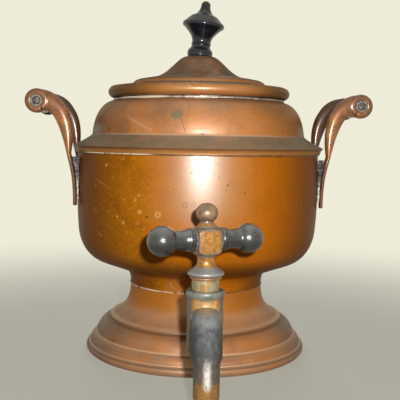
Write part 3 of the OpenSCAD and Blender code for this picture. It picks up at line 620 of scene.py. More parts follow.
# %% Turned wood
BALL_X, WOOD_BALL_R, WAIST_R = 34.6, 11.5, 7.1
FERRULE_X, FERRULE_R, FERRULE_T = BOSS_W / 2 + SEAM_GAP, 8.8, 1.4
WOOD_X, WOOD_R = 10.76, 9.0
JOIN = math.radians(44)
wood_line = tidy(
    [(0, WOOD_X), (WOOD_R - 0.4, WOOD_X), (WOOD_R, WOOD_X + 0.5), (WOOD_R, WOOD_X + 2),
     (WOOD_R - 0.7, WOOD_X + 2.6), (WOOD_R - 0.7, WOOD_X + 2.9), (WOOD_R - 0.2, WOOD_X + 3.4)]
    + curve((WOOD_R - 0.3, WOOD_X + 4.2), (WAIST_R, WOOD_X + 7), (WAIST_R, WOOD_X + 10),
            (WOOD_BALL_R * math.sin(JOIN), BALL_X - WOOD_BALL_R * math.cos(JOIN)), 14)
    + arc((0, BALL_X), WOOD_BALL_R, -46, 90, 26))
ferrule_line = tidy(
    [(0, FERRULE_X), (FERRULE_R - 0.4, FERRULE_X), (FERRULE_R, FERRULE_X + 0.4),
     (FERRULE_R, FERRULE_X + FERRULE_T - 0.4), (FERRULE_R - 0.4, FERRULE_X + FERRULE_T),
     (0, FERRULE_X + FERRULE_T)])
ferrules = bmesh.new()
for side, half_turn in (("right", 0), ("left", math.pi)):
    place = at_key @ at(0, 0, HANDLE_Z) @ turned(half_turn, "Z") @ turned(QUARTER_TURN, "Y")
    wooden = lathe(wood_line, closed=False, steps=80)
    move(wooden, place)
    finish_piece(f"wooden_arm_{side}", wooden, "key", [f"handle_arm_{side}"])
    ring = lathe(ferrule_line, closed=False, steps=64)
    move(ring, place)
    take_in(ferrules, ring)
finish_piece("ferrule_pair", ferrules, "key", ["handle_ferrules"])

# %% Grips
GRIP_HALF, GRIP_R = ARM_Y - EYE_HALF - SEAM_GAP, 9.5
half_grip = [(0, GRIP_HALF), (7.9, GRIP_HALF), (8.2, GRIP_HALF - 0.3), (8.2, GRIP_HALF - 1.8),
             (7.6, GRIP_HALF - 2.4)]
half_grip += curve((7.5, GRIP_HALF - 3), (GRIP_R, GRIP_HALF - 9), (GRIP_R, 8), (GRIP_R, 0), 16)
grip_line = tidy([(r, -z) for r, z in half_grip] + half_grip[::-1])
for side, x_sign in SIDES:
    grip = lathe(grip_line, closed=False, steps=72)
    move(grip, at(x_sign * EYE_XZ[0], 0, EYE_XZ[1]) @ turned(QUARTER_TURN, "X"))
    finish_piece(f"turned_grip_{side}", grip, "urn", [f"grip_{side}"])

# %% [markdown]
# ## Shader words
#
# Every finish below is a sum of a few masks: noise, height, distance from a spot. Written with
# nodes alone that is hard to read, so a wire, which is one output socket, knows how to add,
# multiply and subtract, and each step adds its node behind the scenes.


# %% Wires
class Wire:
    """One output of a tree's nodes. Sums on wires add Math nodes."""

    def __init__(self, nodes, socket):
        self.nodes, self.socket = nodes, socket

    def maths(self, operation, *values):
        return self.nodes.node("Math", {"operation": operation}, dict(enumerate(values)))

    __add__ = __radd__ = lambda self, other: self.maths("ADD", self, other)
    __sub__ = lambda self, other: self.maths("SUBTRACT", self, other)
    __rsub__ = lambda self, other: self.maths("SUBTRACT", other, self)
    __mul__ = __rmul__ = lambda self, other: self.maths("MULTIPLY", self, other)
    __pow__ = lambda self, other: self.maths("POWER", self, other)
    __abs__ = lambda self: self.maths("ABSOLUTE", self)
    most = lambda self, other: self.maths("MAXIMUM", self, other)
    least = lambda self, other: self.maths("MINIMUM", self, other)

    def rise(self, low, high):
        """0 below low, 1 above high, and a smooth rise between them."""
        return self.nodes.node("MapRange", {"interpolation_type": "SMOOTHSTEP"},
                               {"Value": self, "From Min": low, "From Max": high})

    def fall(self, low, high):
        """1 below low, 0 above high, and a smooth fall between them."""
        return 1 - self.rise(low, high)

    def band(self, low, high, soft):
        """1 from low to high, fading over soft on both sides."""
        return self.rise(low - soft, low + soft) * self.fall(high - soft, high + soft)


print("wires can be summed")

# %% [markdown]
# A finish holds one material. Its words are the ones a restorer would use: noise for cloudy
# stains, cells for drops and pinholes, spots and lines for single marks. Marks are placed on
# the shell as if its wall were unrolled flat, by the way round the front and the height.


# %% Finishes
class Nodes:
    """A node tree that is made one call at a time."""

    def __init__(self, tree):
        self.tree = tree
        tree.nodes.clear()

    def node(self, kind, settings, inputs, output=0):
        """Adds a node, sets it, fills its inputs by name or number, and returns an output."""
        made = self.tree.nodes.new("ShaderNode" + kind)
        for setting, value in settings.items():
            setattr(made, setting, value)
        for key, value in inputs.items():
            self.fill(self.pick(made.inputs, key), value)
        return Wire(self, self.pick(made.outputs, output))

    def fill(self, socket, value):
        """Links a wire to a socket, or sets the socket's own value."""
        if isinstance(value, Wire):
            self.tree.links.new(value.socket, socket)
        else:
            socket.default_value = value

    def pick(self, sockets, key):
        """A socket by its number, name or identifier."""
        if isinstance(key, int):
            return sockets[key]
        return next(s for s in sockets if key in (s.identifier, s.name))

    def vector(self, operation, *values, output=0):
        return self.node("VectorMath", {"operation": operation}, dict(enumerate(values)), output)


class Finish(Nodes):
    """A material. Places are in millimetres."""

    def __init__(self, name, **constants):
        self.material = bpy.data.materials.new(name)
        self.material.use_nodes = True
        super().__init__(self.material.node_tree)
        self.shader = self.tree.nodes.new("ShaderNodeBsdfPrincipled")
        self.output = self.tree.nodes.new("ShaderNodeOutputMaterial")
        self.tree.links.new(self.shader.outputs[0], self.output.inputs[0])
        self.give(**constants)
        seen = self.node("TexCoord", {}, {}, "Object")
        self.place = self.vector("MULTIPLY", seen, (1 / MM, 1 / MM, 1 / MM))
        self.x, self.y, self.z = (self.node("SeparateXYZ", {}, {0: self.place}, axis) for axis in "XYZ")

    def give(self, **values):
        """Sets or feeds sockets of the shader: base_color becomes Base Color."""
        for key, value in values.items():
            socket = self.shader.inputs[key.replace("_", " ").title().replace("Ior", "IOR")]
            self.fill(socket, (*value, 1) if isinstance(value, tuple) else value)

    def noise(self, size, detail=4, rough=0.6, stretch=(1, 1, 1), shift=0.0):
        """Noise whose blotches are about size millimetres, longer where stretch is small."""
        place = self.vector("MULTIPLY_ADD", self.place, stretch, (shift, shift, shift))
        return self.node("TexNoise", {}, {
            "Vector": place, "Scale": 1 / size, "Detail": detail, "Roughness": rough})

    def cells(self, size, shift):
        """Distance from the nearest of many scattered points, in shares of size."""
        place = self.vector("ADD", self.place, (shift, shift, shift))
        return self.node("TexVoronoi", {}, {"Vector": place, "Scale": 1 / size})

    def mix(self, mask, plain, marked):
        """Plain where the mask is 0, marked where it is 1."""
        plain, marked = (c if isinstance(c, Wire) else (*c, 1) for c in (plain, marked))
        return self.node("Mix", {"data_type": "RGBA"},
                         {"Factor_Float": mask, "A_Color": plain, "B_Color": marked}, "Result_Color")

    def unroll(self, radius):
        """Lays the shell's wall flat: millimetres round from the front, then height."""
        self.round = self.x.maths("ARCTAN2", self.x, 0.0 - self.y) * radius
        self.flat = self.node("CombineXYZ", {}, {0: self.round, 1: self.z})

    def reach(self, across, up, squash=1.0):
        """Millimetres from a point of the unrolled wall, with heights times squash."""
        off = self.vector("SUBTRACT", self.flat, (across, up, 0))
        return self.vector("LENGTH", self.vector("MULTIPLY", off, (1, squash, 1)), output="Value")

    def spots(self, *marks, soft=0.45):
        """A mask that is 1 on the round marks (across, up, size) of the unrolled wall."""
        first, *others = (self.reach(across, up).fall(size * (1 - soft), size * (1 + soft))
                          for across, up, size in marks)
        for other in others:
            first = first.most(other)
        return first

    def line(self, start, end, width, soft=0.3):
        """A mask that is 1 on a straight scratch of the unrolled wall."""
        start, end = Vector((*start, 0)), Vector((*end, 0))
        span = end - start
        reach = self.vector("DOT_PRODUCT", self.vector("SUBTRACT", self.flat, tuple(start)),
                            tuple(span / span.length_squared), output="Value")
        reach = reach.most(0.0).least(1.0)
        nearest = self.vector("MULTIPLY_ADD", self.node("CombineXYZ", {}, {0: reach, 1: reach, 2: reach}),
                              tuple(span), tuple(start))
        return self.vector("DISTANCE", self.flat, nearest, output="Value").fall(width, width + soft)

    def facing(self, *direction):
        """How far the surface faces a direction, from -1 to 1."""
        normal = self.node("NewGeometry", {}, {}, "Normal")
        return self.vector("DOT_PRODUCT", normal, tuple(Vector(direction).normalized()), output="Value")

    def inside(self):
        """1 where the surface faces the upright axis."""
        outward = self.vector("MULTIPLY", self.place, (1, 1, 0))
        normal = self.node("NewGeometry", {}, {}, "Normal")
        return self.vector("DOT_PRODUCT", normal, outward, output="Value").fall(-4, 0)

    def layers(self, tone, *coats):
        """The tone under coats of (mask, colour), each laid over the ones before."""
        for mask, colour in coats:
            tone = self.mix(mask, tone, colour)
        return tone

    def lined(self, tone, mask):
        """The tone, with a tinned lining and its water marks where the mask is 1."""
        return self.mix(mask, tone, self.layers(
            (0.38, 0.36, 0.32),
            (self.noise(9, shift=7).rise(0.35, 0.65), (0.17, 0.13, 0.09)),
            (self.z.band(141, 150, 1.5) * 0.5, (0.50, 0.47, 0.40))))

    def bump(self, height, depth, strength=1.0):
        """Feeds the shader's normal with a height in millimetres of depth, as the last step."""
        normal = self.node("Bump", {}, {"Height": height, "Distance": depth * MM, "Strength": strength})
        self.tree.links.new(normal.socket, self.shader.inputs["Normal"])
        print(self.material.name, len(self.tree.nodes), "shader nodes")


print("finishes are written as sums of masks")

# %% [markdown]
# ## Copper under lacquer
#
# The bowl was lacquered, and the lacquer has gone amber. It is darker where it pooled, with
# fine streaks from polishing, pale dried drops, dark pinholes, and a painted shadow line right
# under the shoulder's rim. A glossy metal would look new and would mirror the whole room, so
# nearly all the light scatters in the lacquer. Only the front has a coat whose dull shine makes
# one soft highlight, and there the colour is a paler painted highlight tint. The sides and the
# heel are painted darker, as painted shade.

# %% Amber copper
AMBER = (0.38, 0.108, 0.002)
AMBER_DEEP = (0.19, 0.046, 0.001)
AMBER_OLIVE = (0.33, 0.118, 0.003)
AMBER_RED = (0.41, 0.104, 0.003)
AMBER_BRIGHT = (0.60, 0.21, 0.01)
AMBER_PALE = (0.66, 0.38, 0.13)
SOLDER_GREY = (0.34, 0.27, 0.19)
INK = (0.05, 0.022, 0.012)

amber = Finish("amber_lacquered_copper", metallic=0.06, specular_ior_level=0.08,
               coat_roughness=0.36, coat_ior=1.8)
amber.unroll(BOWL_R)
cloud = amber.noise(46, shift=12)
streaks_and_painted_glint = amber.noise(2.2, 3, stretch=(1, 1, 0.035), shift=3)
leftward = amber.round.fall(-75, -18) * amber.y.fall(10, 80)
drop_ring = amber.cells(8, shift=31)
drops = drop_ring.fall(0.14, 0.2) * drop_ring.rise(0.06, 0.12)
drops = drops * amber.noise(26, 2, 0.55, shift=5).rise(0.5, 0.62) * (0.25 + 0.75 * leftward)
pinholes = amber.cells(6.5, shift=8).fall(0.05, 0.085)
pinholes = pinholes * amber.noise(24, 2, 0.55, shift=40).rise(0.5, 0.6)
pits = amber.spots(
    (-10, 173.4, 0.9), (-6.5, 174.7, 0.7), (-12.4, 182.2, 0.6), (-11.5, 178.6, 0.5), (1, 174.7, 0.6),
    (4, 181.8, 0.7), (11.5, 180.2, 0.6), (12.4, 169.5, 0.6), (19.9, 163.5, 0.9), (23, 165.9, 0.5),
    (18.5, 160, 0.6), (34.8, 156.7, 0.8), (7, 156.7, 0.5))
rings = amber.spots((-14.9, 146.8, 2.3), (-8, 147.7, 2.0), soft=0.25)
rings = rings - amber.spots((-14.9, 146.8, 1.5), (-8, 147.7, 1.2), soft=0.35)
pale = amber.spots(
    (-54.1, 139.9, 1.7), (-58.2, 149.6, 1.2), (-55.2, 153.6, 1.0), (-70.7, 129.8, 1.5),
    (-77.3, 134.5, 1.2), (-90.7, 177.4, 1.4), (-37.7, 138.3, 2.6)) - amber.spots((-37.7, 138.3, 1.2))
scratch = amber.line((-118.7, 169.5), (-75.7, 154.6), 0.12, 0.25)
scratch = scratch * amber.noise(6, 3, 0.55, shift=50).rise(0.4, 0.5)
# The front, where the highlight falls: it holds the coat and a paler painted highlight tint.
wear_and_highlight_zone = abs(amber.round).fall(4, 60) * amber.z.rise(108, 150)
# Painted shade: the bowl's sides, as seen from the front, are painted darker; it fades again behind.
painted_side_shade = abs(amber.round)
painted_side_shade = painted_side_shade.rise(45, 125) * (1 - 0.75 * painted_side_shade.rise(190, 270))
dark = (pinholes * 0.5).most(pits * 0.75).most(rings * 0.5).most(amber.spots((-47.6, 136, 1.1)) * 0.7)
smear = amber.noise(3.2, 4, 0.65, shift=66).rise(0.42, 0.72) * amber.z.fall(72, 86)
smear = smear * amber.round.band(-52, -14, 8)
tone = amber.layers(
    AMBER,
    (cloud.rise(0.35, 0.7) * 0.7, AMBER_RED),
    (leftward * 0.8, AMBER_OLIVE),
    (amber.noise(20, 5, 0.65, shift=70).rise(0.46, 0.72) * (0.2 + 0.4 * leftward), AMBER_DEEP),
    (amber.noise(3.5, 4, 0.7, shift=52).rise(0.48, 0.72) * (0.2 + 0.45 * leftward), AMBER_BRIGHT),
    (amber.noise(2.4, 3, 0.55, shift=88).rise(0.6, 0.7) * leftward * 0.55, (0.17, 0.06, 0.015)),
    (streaks_and_painted_glint.rise(0.45, 0.8) * 0.16, AMBER_BRIGHT),
    # painted shade: the heel, which faces down, is painted darker
    (amber.z.band(80, 96, 6) * 0.8, (0.13, 0.042, 0.004)),
    # painted highlight tint where the highlight falls
    (wear_and_highlight_zone * 0.45, (0.25, 0.16, 0.05)),
    # painted shade at the sides
    (painted_side_shade * 0.85, (0.15, 0.04, 0.001)),
    (drops * 0.35, AMBER_PALE),
    (pale * 0.5, AMBER_PALE),
    (scratch * 0.4, AMBER_PALE),
    (dark, INK),
    (smear * 0.6, SOLDER_GREY),
    # painted shadow: a dark line right under the shoulder's rim
    (amber.z.rise(186.0, 186.9) * 0.7, INK))
tone = amber.lined(tone, amber.inside())
amber.give(base_color=tone, roughness=0.4 + 0.12 * amber.noise(14, shift=22),
           coat_weight=(0.95 - 0.5 * dark) * wear_and_highlight_zone)
height = streaks_and_painted_glint * 0.15 + amber.noise(5, 3, 0.5, shift=9) * 0.35 - dark * 1.2 + smear * 0.5 + pale * 0.4
amber.bump(height, 0.05, 0.6)

# %% [markdown]
# ## Old copper
#
# The shoulder, lid, foot and arms have lost their lacquer. Bare copper browns, turns pinkish where
# it was rubbed, and gathers grey-green dust on every face that looks up. The dust could be
# painted in by height, but reading the true normal lets it lie where dust would lie.

# %% Copper tones
COPPER = (0.48, 0.20, 0.075)
COPPER_BROWN = (0.27, 0.115, 0.045)
COPPER_ORANGE = (0.52, 0.175, 0.025)
COPPER_PALE = (0.64, 0.36, 0.20)
DUST = (0.19, 0.16, 0.11)
VERDIGRIS = (0.15, 0.16, 0.09)


def old_copper(name, dust=0.8, warm=0.3, seed=0.0, radius=100, dust_tone=DUST, shade=0.5, gloss=0.33):
    """A finish for bare copper, browned, worn, gathering dust and painted darker towards its sides as
    painted shade; it comes with its colour and its height.
    """
    made = Finish(name, specular_ior_level=0.1, coat_roughness=gloss, coat_ior=1.6)
    made.unroll(radius)
    cloudy = made.noise(38, shift=seed)
    fine = made.noise(6, 5, 0.65, shift=seed + 5)
    rings = made.noise(1.2, 2, 0.5, stretch=(0.05, 0.05, 1), shift=seed)
    # Painted shade: towards the sides, as seen from the front, the copper is painted darker; behind, it
    # fades.
    painted_side_shade = abs(made.round)
    painted_side_shade = painted_side_shade.rise(0.5 * radius, 1.3 * radius) * (1 - 0.7 * painted_side_shade.rise(1.65 * radius, 2.4 * radius))
    dust_and_sheen = made.facing(0, 0, 1).rise(0.3, 0.95) * made.noise(22, 5, 0.7, shift=seed + 33).rise(0.25, 0.6)
    dust_and_sheen = (dust_and_sheen * dust).least(1.0)
    specks = made.cells(11, shift=seed + 2).fall(0.04, 0.08)
    specks = specks * made.noise(40, 2, 0.55, shift=seed).rise(0.45, 0.6)
    colour = made.layers(
        COPPER,
        (cloudy.rise(0.38, 0.68), COPPER_BROWN),
        (made.noise(30, 3, 0.55, shift=seed + 20).rise(0.5 - warm * 0.4, 0.75) * 0.7, COPPER_ORANGE),
        (fine.rise(0.55, 0.8) * 0.4, COPPER_PALE),
        (rings.rise(0.5, 0.8) * 0.15, COPPER_BROWN),
        # painted shade at the sides
        (painted_side_shade * shade, (0.13, 0.06, 0.026)),
        (dust_and_sheen, dust_tone),
        (specks * 0.9, INK))
    polish = 1 - abs(made.round).rise(0.12 * radius, 0.6 * radius) * min(shade * 4, 1)
    roughness = 0.38 + 0.12 * fine + 0.28 * dust_and_sheen + 0.08 * cloudy
    made.give(roughness=roughness, metallic=0.3 - 0.26 * dust_and_sheen,
              coat_weight=(0.05 + 0.9 * polish) * (1 - 0.7 * dust_and_sheen))
    height = rings * 0.25 + fine * 0.5 + dust_and_sheen * 0.4 - specks
    return made, colour, height


print("bare copper starts from", COPPER)

# %% [markdown]
# The dome keeps the marks of its life: a spill whose edge went green and ran down, fine
# scratches, dust on the ledge and a pale line at its root.

# %% Dome and ledge
dome, tone, height = old_copper("dome_copper", dust=0.45, warm=0.4, seed=11)
ragged = 6 * dome.noise(2.6, shift=3) - 3
stain = (dome.reach(-23.1, 220.3, squash=1.25) + ragged).fall(3.6, 6.0)
blot = stain * (0.45 + 0.55 * dome.noise(1.6, 3, shift=8).rise(0.4, 0.6))
drip = dome.line((-18.9, 217), (-15.3, 206.5), 0.22, 0.35).most(
    dome.line((-12.7, 230), (-12.3, 221), 0.15, 0.4) * 0.5)
scratch = dome.line((-70.3, 218), (-44.5, 207.4), 0.1, 0.25).most(
    dome.line((-74.6, 219), (-50.7, 208.2), 0.05, 0.2) * 0.4)
dark = dome.spots((-1, 204.9, 0.9), (-93.4, 208.2, 1.0))
ruddy = dome.spots((78.1, 208.2, 2.0))
root_dust = dome.z.band(203.2, 204.4, 0.5)
ledge = dome.z.band(192.9, 203.4, 0.4)
corner = abs(dome.round).band(112, 165, 15) * dome.z.band(203, 213, 4)
tone = dome.layers(
    tone,
    (ledge * (0.35 + 0.5 * dome.noise(16, 5, 0.65, shift=71).rise(0.3, 0.65)),
     (0.155, 0.135, 0.085)),
    # painted shade: a dark band on the ledge's underside
    (dome.z.band(191.2, 192.8, 0.6) * 0.7, (0.09, 0.045, 0.014)),
    (dome.z.fall(190.4, 191.5) * 0.85, (0.33, 0.14, 0.028)),
    (stain * 0.5, (0.10, 0.07, 0.04)),
    (blot * 0.75, VERDIGRIS),
    (drip * 0.75, (0.06, 0.06, 0.045)),
    (scratch * 0.6, (0.74, 0.52, 0.36)),
    (root_dust * 0.55, (0.45, 0.34, 0.24)),
    (corner * 0.8, (0.34, 0.33, 0.29)),
    (dome.round.rise(35, 95) * (1 - ledge) * dome.y.fall(0, 70) * 0.45,
     (0.28, 0.105, 0.014)),
    (dark * 0.85, INK),
    (ruddy * 0.6, (0.45, 0.08, 0.03)))
tone = dome.lined(tone, dome.inside() * (1 - ledge))
dome.give(base_color=tone)
dome.bump(height - scratch * 0.6 + blot * 0.8, 0.08, 0.6)

# %% [markdown]
# The lid is painted darker at its sides than in front, as painted shade, a little pitted, and
# tinned underneath.

# %% Lid copper
lid, tone, height = old_copper("lid_copper", dust=0.9, warm=0.3, seed=27, radius=85,
                               dust_tone=(0.115, 0.09, 0.065), shade=0.4)
bead = lid.z.rise(246.2, 248.6)
pits = lid.cells(2.4, shift=5).fall(0.12, 0.3) * lid.round.band(3, 30, 5) * (1 - bead)
# Painted shade: the lid's plate and bell are painted darker towards the sides.
painted_lid_side_shade = abs(lid.round).rise(28, 80) * (1 - bead)
scratch = lid.line((-16.5, 249), (-11, 244), 0.1, 0.25).most(lid.line((-12, 251), (-6, 247), 0.08, 0.25))
tone = lid.layers(
    tone,
    ((1 - bead) * 0.6, (0.42, 0.17, 0.035)),
    (bead * 0.35, (0.14, 0.085, 0.05)),
    (lid.z.band(248.6, 255, 1.5) * 0.7, (0.15, 0.085, 0.045)),
    # painted shade at the sides
    (painted_lid_side_shade * 0.85, (0.115, 0.055, 0.016)),
    (lid.z.band(251.2, 253.4, 0.8) * 0.55, COPPER_ORANGE),
    (pits * 0.7, COPPER_BROWN),
    (scratch * 0.55, (0.72, 0.54, 0.40)))
under = lid.facing(0, 0, -1).rise(0.2, 0.6) * (1 - (lid.x ** 2 + lid.y ** 2).rise(5000, 5300))
tone = lid.lined(tone, under)
lid.give(base_color=tone)
lid.bump(height - pits * 1.6 - scratch * 0.5, 0.09, 0.65)

# %% [markdown]
# The foot is orange on its bell, with a paler painted highlight low on the bell, and greyer low
# down. Painted shade lies in a band under its lip and one at its rim, and a pale painted
# highlight along its creases and under its middle crease.

# %% Foot copper
foot, tone, height = old_copper("foot_copper", dust=0.22, warm=0.6, seed=45, radius=80, shade=0.25)
# Painted highlight: pale lines along the three creases.
painted_crease_highlight = foot.z.band(33.4, 35.2, 0.5).most(foot.z.band(16.4, 17.6, 0.4)).most(foot.z.band(8.0, 9.2, 0.4))
bell = foot.z.rise(38, 52)
grey = foot.noise(13, 4, 0.65, shift=9).rise(0.4, 0.62) * foot.round.fall(-30, 10) * foot.y.fall(0, 50)
skirt = foot.z.band(34.5, 46, 4) * foot.noise(9, 4, 0.65, shift=81).rise(0.3, 0.6)
low = abs(foot.round).rise(45, 110)
# Painted shade: a dark band under the lip and one at the rim.
painted_groove_shade = foot.z.band(30.0, 33.2, 0.9).most(foot.z.band(6.2, 7.6, 0.5))
tone = foot.layers(
    tone,
    # painted highlight on the bell's lower flare
    (foot.z.band(32, 46, 5) * 0.85, (0.66, 0.32, 0.14)),
    (bell * 0.85, (0.42, 0.14, 0.01)),
    (skirt * 0.25, (0.30, 0.19, 0.12)),
    (grey * 0.3 * foot.z.fall(40, 54), (0.30, 0.22, 0.16)),
    (low * foot.noise(11, shift=19).rise(0.25, 0.5) * 0.75
     * foot.z.fall(30, 50), (0.165, 0.135, 0.105)),
    (foot.z.fall(6, 16) * 0.3, (0.46, 0.31, 0.21)),
    # painted highlight just under the middle crease
    (foot.z.band(14.5, 18, 1.5) * 0.35, (0.60, 0.36, 0.20)),
    # painted shade under the lip and at the rim
    (painted_groove_shade * 0.65, (0.13, 0.075, 0.04)),
    # painted highlight along the creases
    (painted_crease_highlight * 0.5, (0.68, 0.44, 0.26)))
foot.give(base_color=tone)
foot.bump(height, 0.08, 0.6)

# %% [markdown]
# The arms are darker than the sheet, painted nearly black behind as painted shade, and more
# orange along the middle of the horn.

# %% Arm copper
horn, tone, height = old_copper("arm_copper", dust=0.15, warm=0.6, seed=61, shade=0.0, gloss=0.2)
# Painted shade: the rear arms are painted nearly black.
rear = horn.y.rise(0, 12)
tone = horn.layers(
    tone,
    (horn.noise(9, shift=4).rise(0.32, 0.62) * 0.8, (0.13, 0.045, 0.015)),
    (horn.z.fall(168, 205) * 0.75, (0.085, 0.032, 0.015)),
    (horn.z.rise(216, 236) * 0.7, (0.17, 0.068, 0.034)),
    (0.35 * horn.z.band(184, 214, 8), (0.50, 0.20, 0.05)),
    # painted shade on the rear arms
    (rear * 0.8, (0.035, 0.018, 0.014)))
horn.give(base_color=tone, metallic=0.1, coat_weight=0.65 - 0.2 * rear)
horn.bump(height, 0.08, 0.6)

# %% [markdown]
# ## Tin and solder
#
# Solder is a soft grey metal. It is bright where a cloth reaches it and nearly black in its
# hollows, so one noise drives both its colour and its roughness. The seams and the mouth's
# lining at the front left get a pale painted highlight. The solder under the tails is painted
# dark grey as painted shade, and silvery only in patches low down.

# %% Tin
def tinned(name, bright, dull, metal):
    """Solder or tinning in a bright and a dull tone by noise, with a pale painted highlight at the front
    left.
    """
    made = Finish(name)
    made.unroll(110)
    worn = made.noise(5, 4, 0.65, shift=4)
    # Painted highlight: the front left of the seams, the collar and the neck seam is painted pale cream.
    painted_seam_highlight = made.round.band(-118, -44, 10) * made.z.rise(150, 180)
    low = made.z.fall(60, 90) * made.round.band(-150, -18, 6)
    painted_seam_highlight = (painted_seam_highlight + low).least(1.0) * made.noise(9, 3, 0.55, shift=21).rise(0.3, 0.5)
    colour = made.layers(bright, (worn.rise(0.42, 0.62), dull), (painted_seam_highlight * 0.85, (0.90, 0.78, 0.60)))
    made.give(base_color=colour, metallic=metal - metal * 0.6 * painted_seam_highlight, roughness=0.3 + 0.28 * worn)
    made.bump(worn, 0.18, 0.7)
    return made


tin = tinned("tin_solder", (0.46, 0.42, 0.36), (0.22, 0.16, 0.10), 0.8)
seam_tin = tinned("browned_solder", (0.26, 0.12, 0.04), (0.12, 0.05, 0.015), 0.3)

lumpy = Finish("lumpy_solder", metallic=0.5)
worn = lumpy.noise(4, 3, stretch=(1, 1, 0.4), shift=14)
bright = lumpy.z.fall(150, 168) * worn.rise(0.36, 0.5)
# Painted shade: the solder is painted dark grey, and silvery only in patches low down.
tone = lumpy.layers(
    (0.11, 0.11, 0.12), (worn.rise(0.4, 0.62), (0.05, 0.045, 0.045)), (bright * 0.85, (0.66, 0.62, 0.56)))
lumpy.give(base_color=tone, roughness=0.42 + 0.2 * worn)
lumpy.bump(worn, 0.15, 0.6)

# %% [markdown]
# ## Ebonised wood
#
# Black polish over close-grained wood: nearly black, a little blue, with a soft gloss that
# handling has dulled in patches. Along the grain it shows fine lines. Faces that look up and a
# little to the front are painted pale grey-blue, a painted sheen of light from above.


# %% Ebony
def ebony(name, tone_dark, tone_worn, gloss, seed, top_sheen, polish):
    """Blackened, polished wood, with a painted sheen on faces that look up."""
    made = Finish(name, specular_ior_level=0.1, coat_weight=polish, coat_ior=1.8, coat_roughness=gloss)
    grain = made.noise(1.4, stretch=(0.25, 1, 1), shift=seed)
    wear_and_highlight_zone = made.noise(12, shift=seed + 4).rise(0.45, 0.7)
    chips = made.cells(5, shift=seed).fall(0.07, 0.13)
    chips = chips * made.noise(16, 2, 0.55, shift=seed).rise(0.48, 0.58)
    # Painted sheen: faces that look up and a little to the front are painted pale grey-blue.
    dust_and_sheen = made.facing(0, -0.3, 1).rise(0.45, 0.95) * made.noise(7, shift=seed + 9).rise(0.25, 0.6)
    dust_and_sheen = dust_and_sheen * top_sheen
    colour = made.layers(
        tone_dark,
        (wear_and_highlight_zone * 0.6 + grain * 0.2, tone_worn),
        (chips * 0.7, (0.20, 0.17, 0.14)),
        # painted sheen on top
        (dust_and_sheen, (0.23, 0.235, 0.235)))
    made.give(base_color=colour, roughness=0.3 + 0.25 * wear_and_highlight_zone + 0.3 * dust_and_sheen)
    made.bump(grain * 0.4 - chips, 0.08, 0.5)
    return made


finial_black = ebony("finial_black", (0.004, 0.006, 0.011), (0.013, 0.017, 0.026),
                     gloss=0.13, seed=2, top_sheen=0.0, polish=0.4)
grip_black = ebony("grip_black", (0.008, 0.008, 0.010), (0.03, 0.03, 0.034),
                   gloss=0.22, seed=31, top_sheen=0.3, polish=0.4)
handle_grey = ebony("handle_charcoal", (0.010, 0.010, 0.011), (0.026, 0.024, 0.022),
                    gloss=0.27, seed=17, top_sheen=0.35, polish=0.9)

# %% [markdown]
# ## The tap's patina
#
# The tap is brass, never lacquered. Hands keep its boss and ball warm, water greys the spout
# and leaves verdigris under the key, and the tip of the spout is brown and orange. Bands of
# height, blurred by noise, place each of these. Over them lie a white painted highlight streak
# down the spout's front, a lighter painted highlight on the elbow's top, a golden painted
# highlight on the barrel's front, and painted shade on the sides of the barrel and the spout.

# %% Tap brass
BRASS_DARK = (0.075, 0.065, 0.055)

tap = Finish("tap_patina", specular_ior_level=0.3, coat_roughness=0.3)
mottle = tap.noise(3.4, 5, 0.7, shift=14)
level = tap.z + 8 * (tap.noise(6, shift=6) - 0.5)
spout = tap.y.fall(-178.5, -175.5)
barrel_top = tap.z.rise(82.5, 84.5)
# Painted highlight: a white streak down the front of the spout.
streaks_and_painted_glint = abs(tap.x + 1.6 * (mottle - 0.5)).fall(0.5, 4.0) * level.band(25, 45, 4) * tap.y.fall(-200, -197)
streaks_and_painted_glint = streaks_and_painted_glint * tap.noise(1.8, 4, 0.65, stretch=(1, 1, 0.4), shift=77).rise(0.3, 0.52)
belly = spout * tap.z.band(46, 74, 5)
scuffed = tap.noise(4.5, 6, 0.72, stretch=(1, 1, 0.8), shift=31)
mint = barrel_top * tap.noise(5, shift=3).rise(0.38, 0.56)
tone = tap.layers(
    (0.60, 0.31, 0.08),
    (mottle.rise(0.4, 0.62) * 0.8, (0.28, 0.11, 0.025)),
    (spout * level.rise(23, 32) * 0.95, (0.13, 0.10, 0.09)),
    (spout * level.rise(41, 50), (0.07, 0.075, 0.075)),
    # painted highlight: the elbow's top is painted lighter
    (spout * level.rise(64, 72) * 0.9, (0.24, 0.25, 0.245)),
    (spout * level.rise(24, 32) * scuffed.rise(0.45, 0.75) * 0.6, (0.21, 0.22, 0.22)),
    (spout * level.rise(24, 32) * scuffed.fall(0.36, 0.48) * 0.6, (0.05, 0.042, 0.04)),
    (spout * level.rise(72, 78) * 0.55, (0.50, 0.30, 0.12)),
    # painted shade: the spout's sides are painted darker
    (spout * abs(tap.x).rise(5, 10.5) * (0.8 - 0.55 * level.rise(56, 70)),
     (0.045, 0.036, 0.03)),
    (level.fall(20, 28) * 0.6, (0.24, 0.12, 0.04)),
    # painted highlight: a golden band on the barrel's front
    ((1 - spout) * tap.facing(0, -1, 0).rise(0.7, 0.98) * tap.z.band(72, 82, 3) * 0.6,
     (0.74, 0.44, 0.15)),
    # painted shade: the barrel's sides are painted dark grey
    ((1 - spout) * tap.facing(0, -1, 0).fall(0.55, 0.85) * 0.85, (0.10, 0.105, 0.105)),
    (mottle.rise(0.54, 0.75) * 0.5, BRASS_DARK),
    (barrel_top * 0.9, (0.115, 0.12, 0.105)),
    (mint * 0.6, (0.21, 0.24, 0.19)),
    # painted highlight streak
    (streaks_and_painted_glint, (0.88, 0.85, 0.80)))
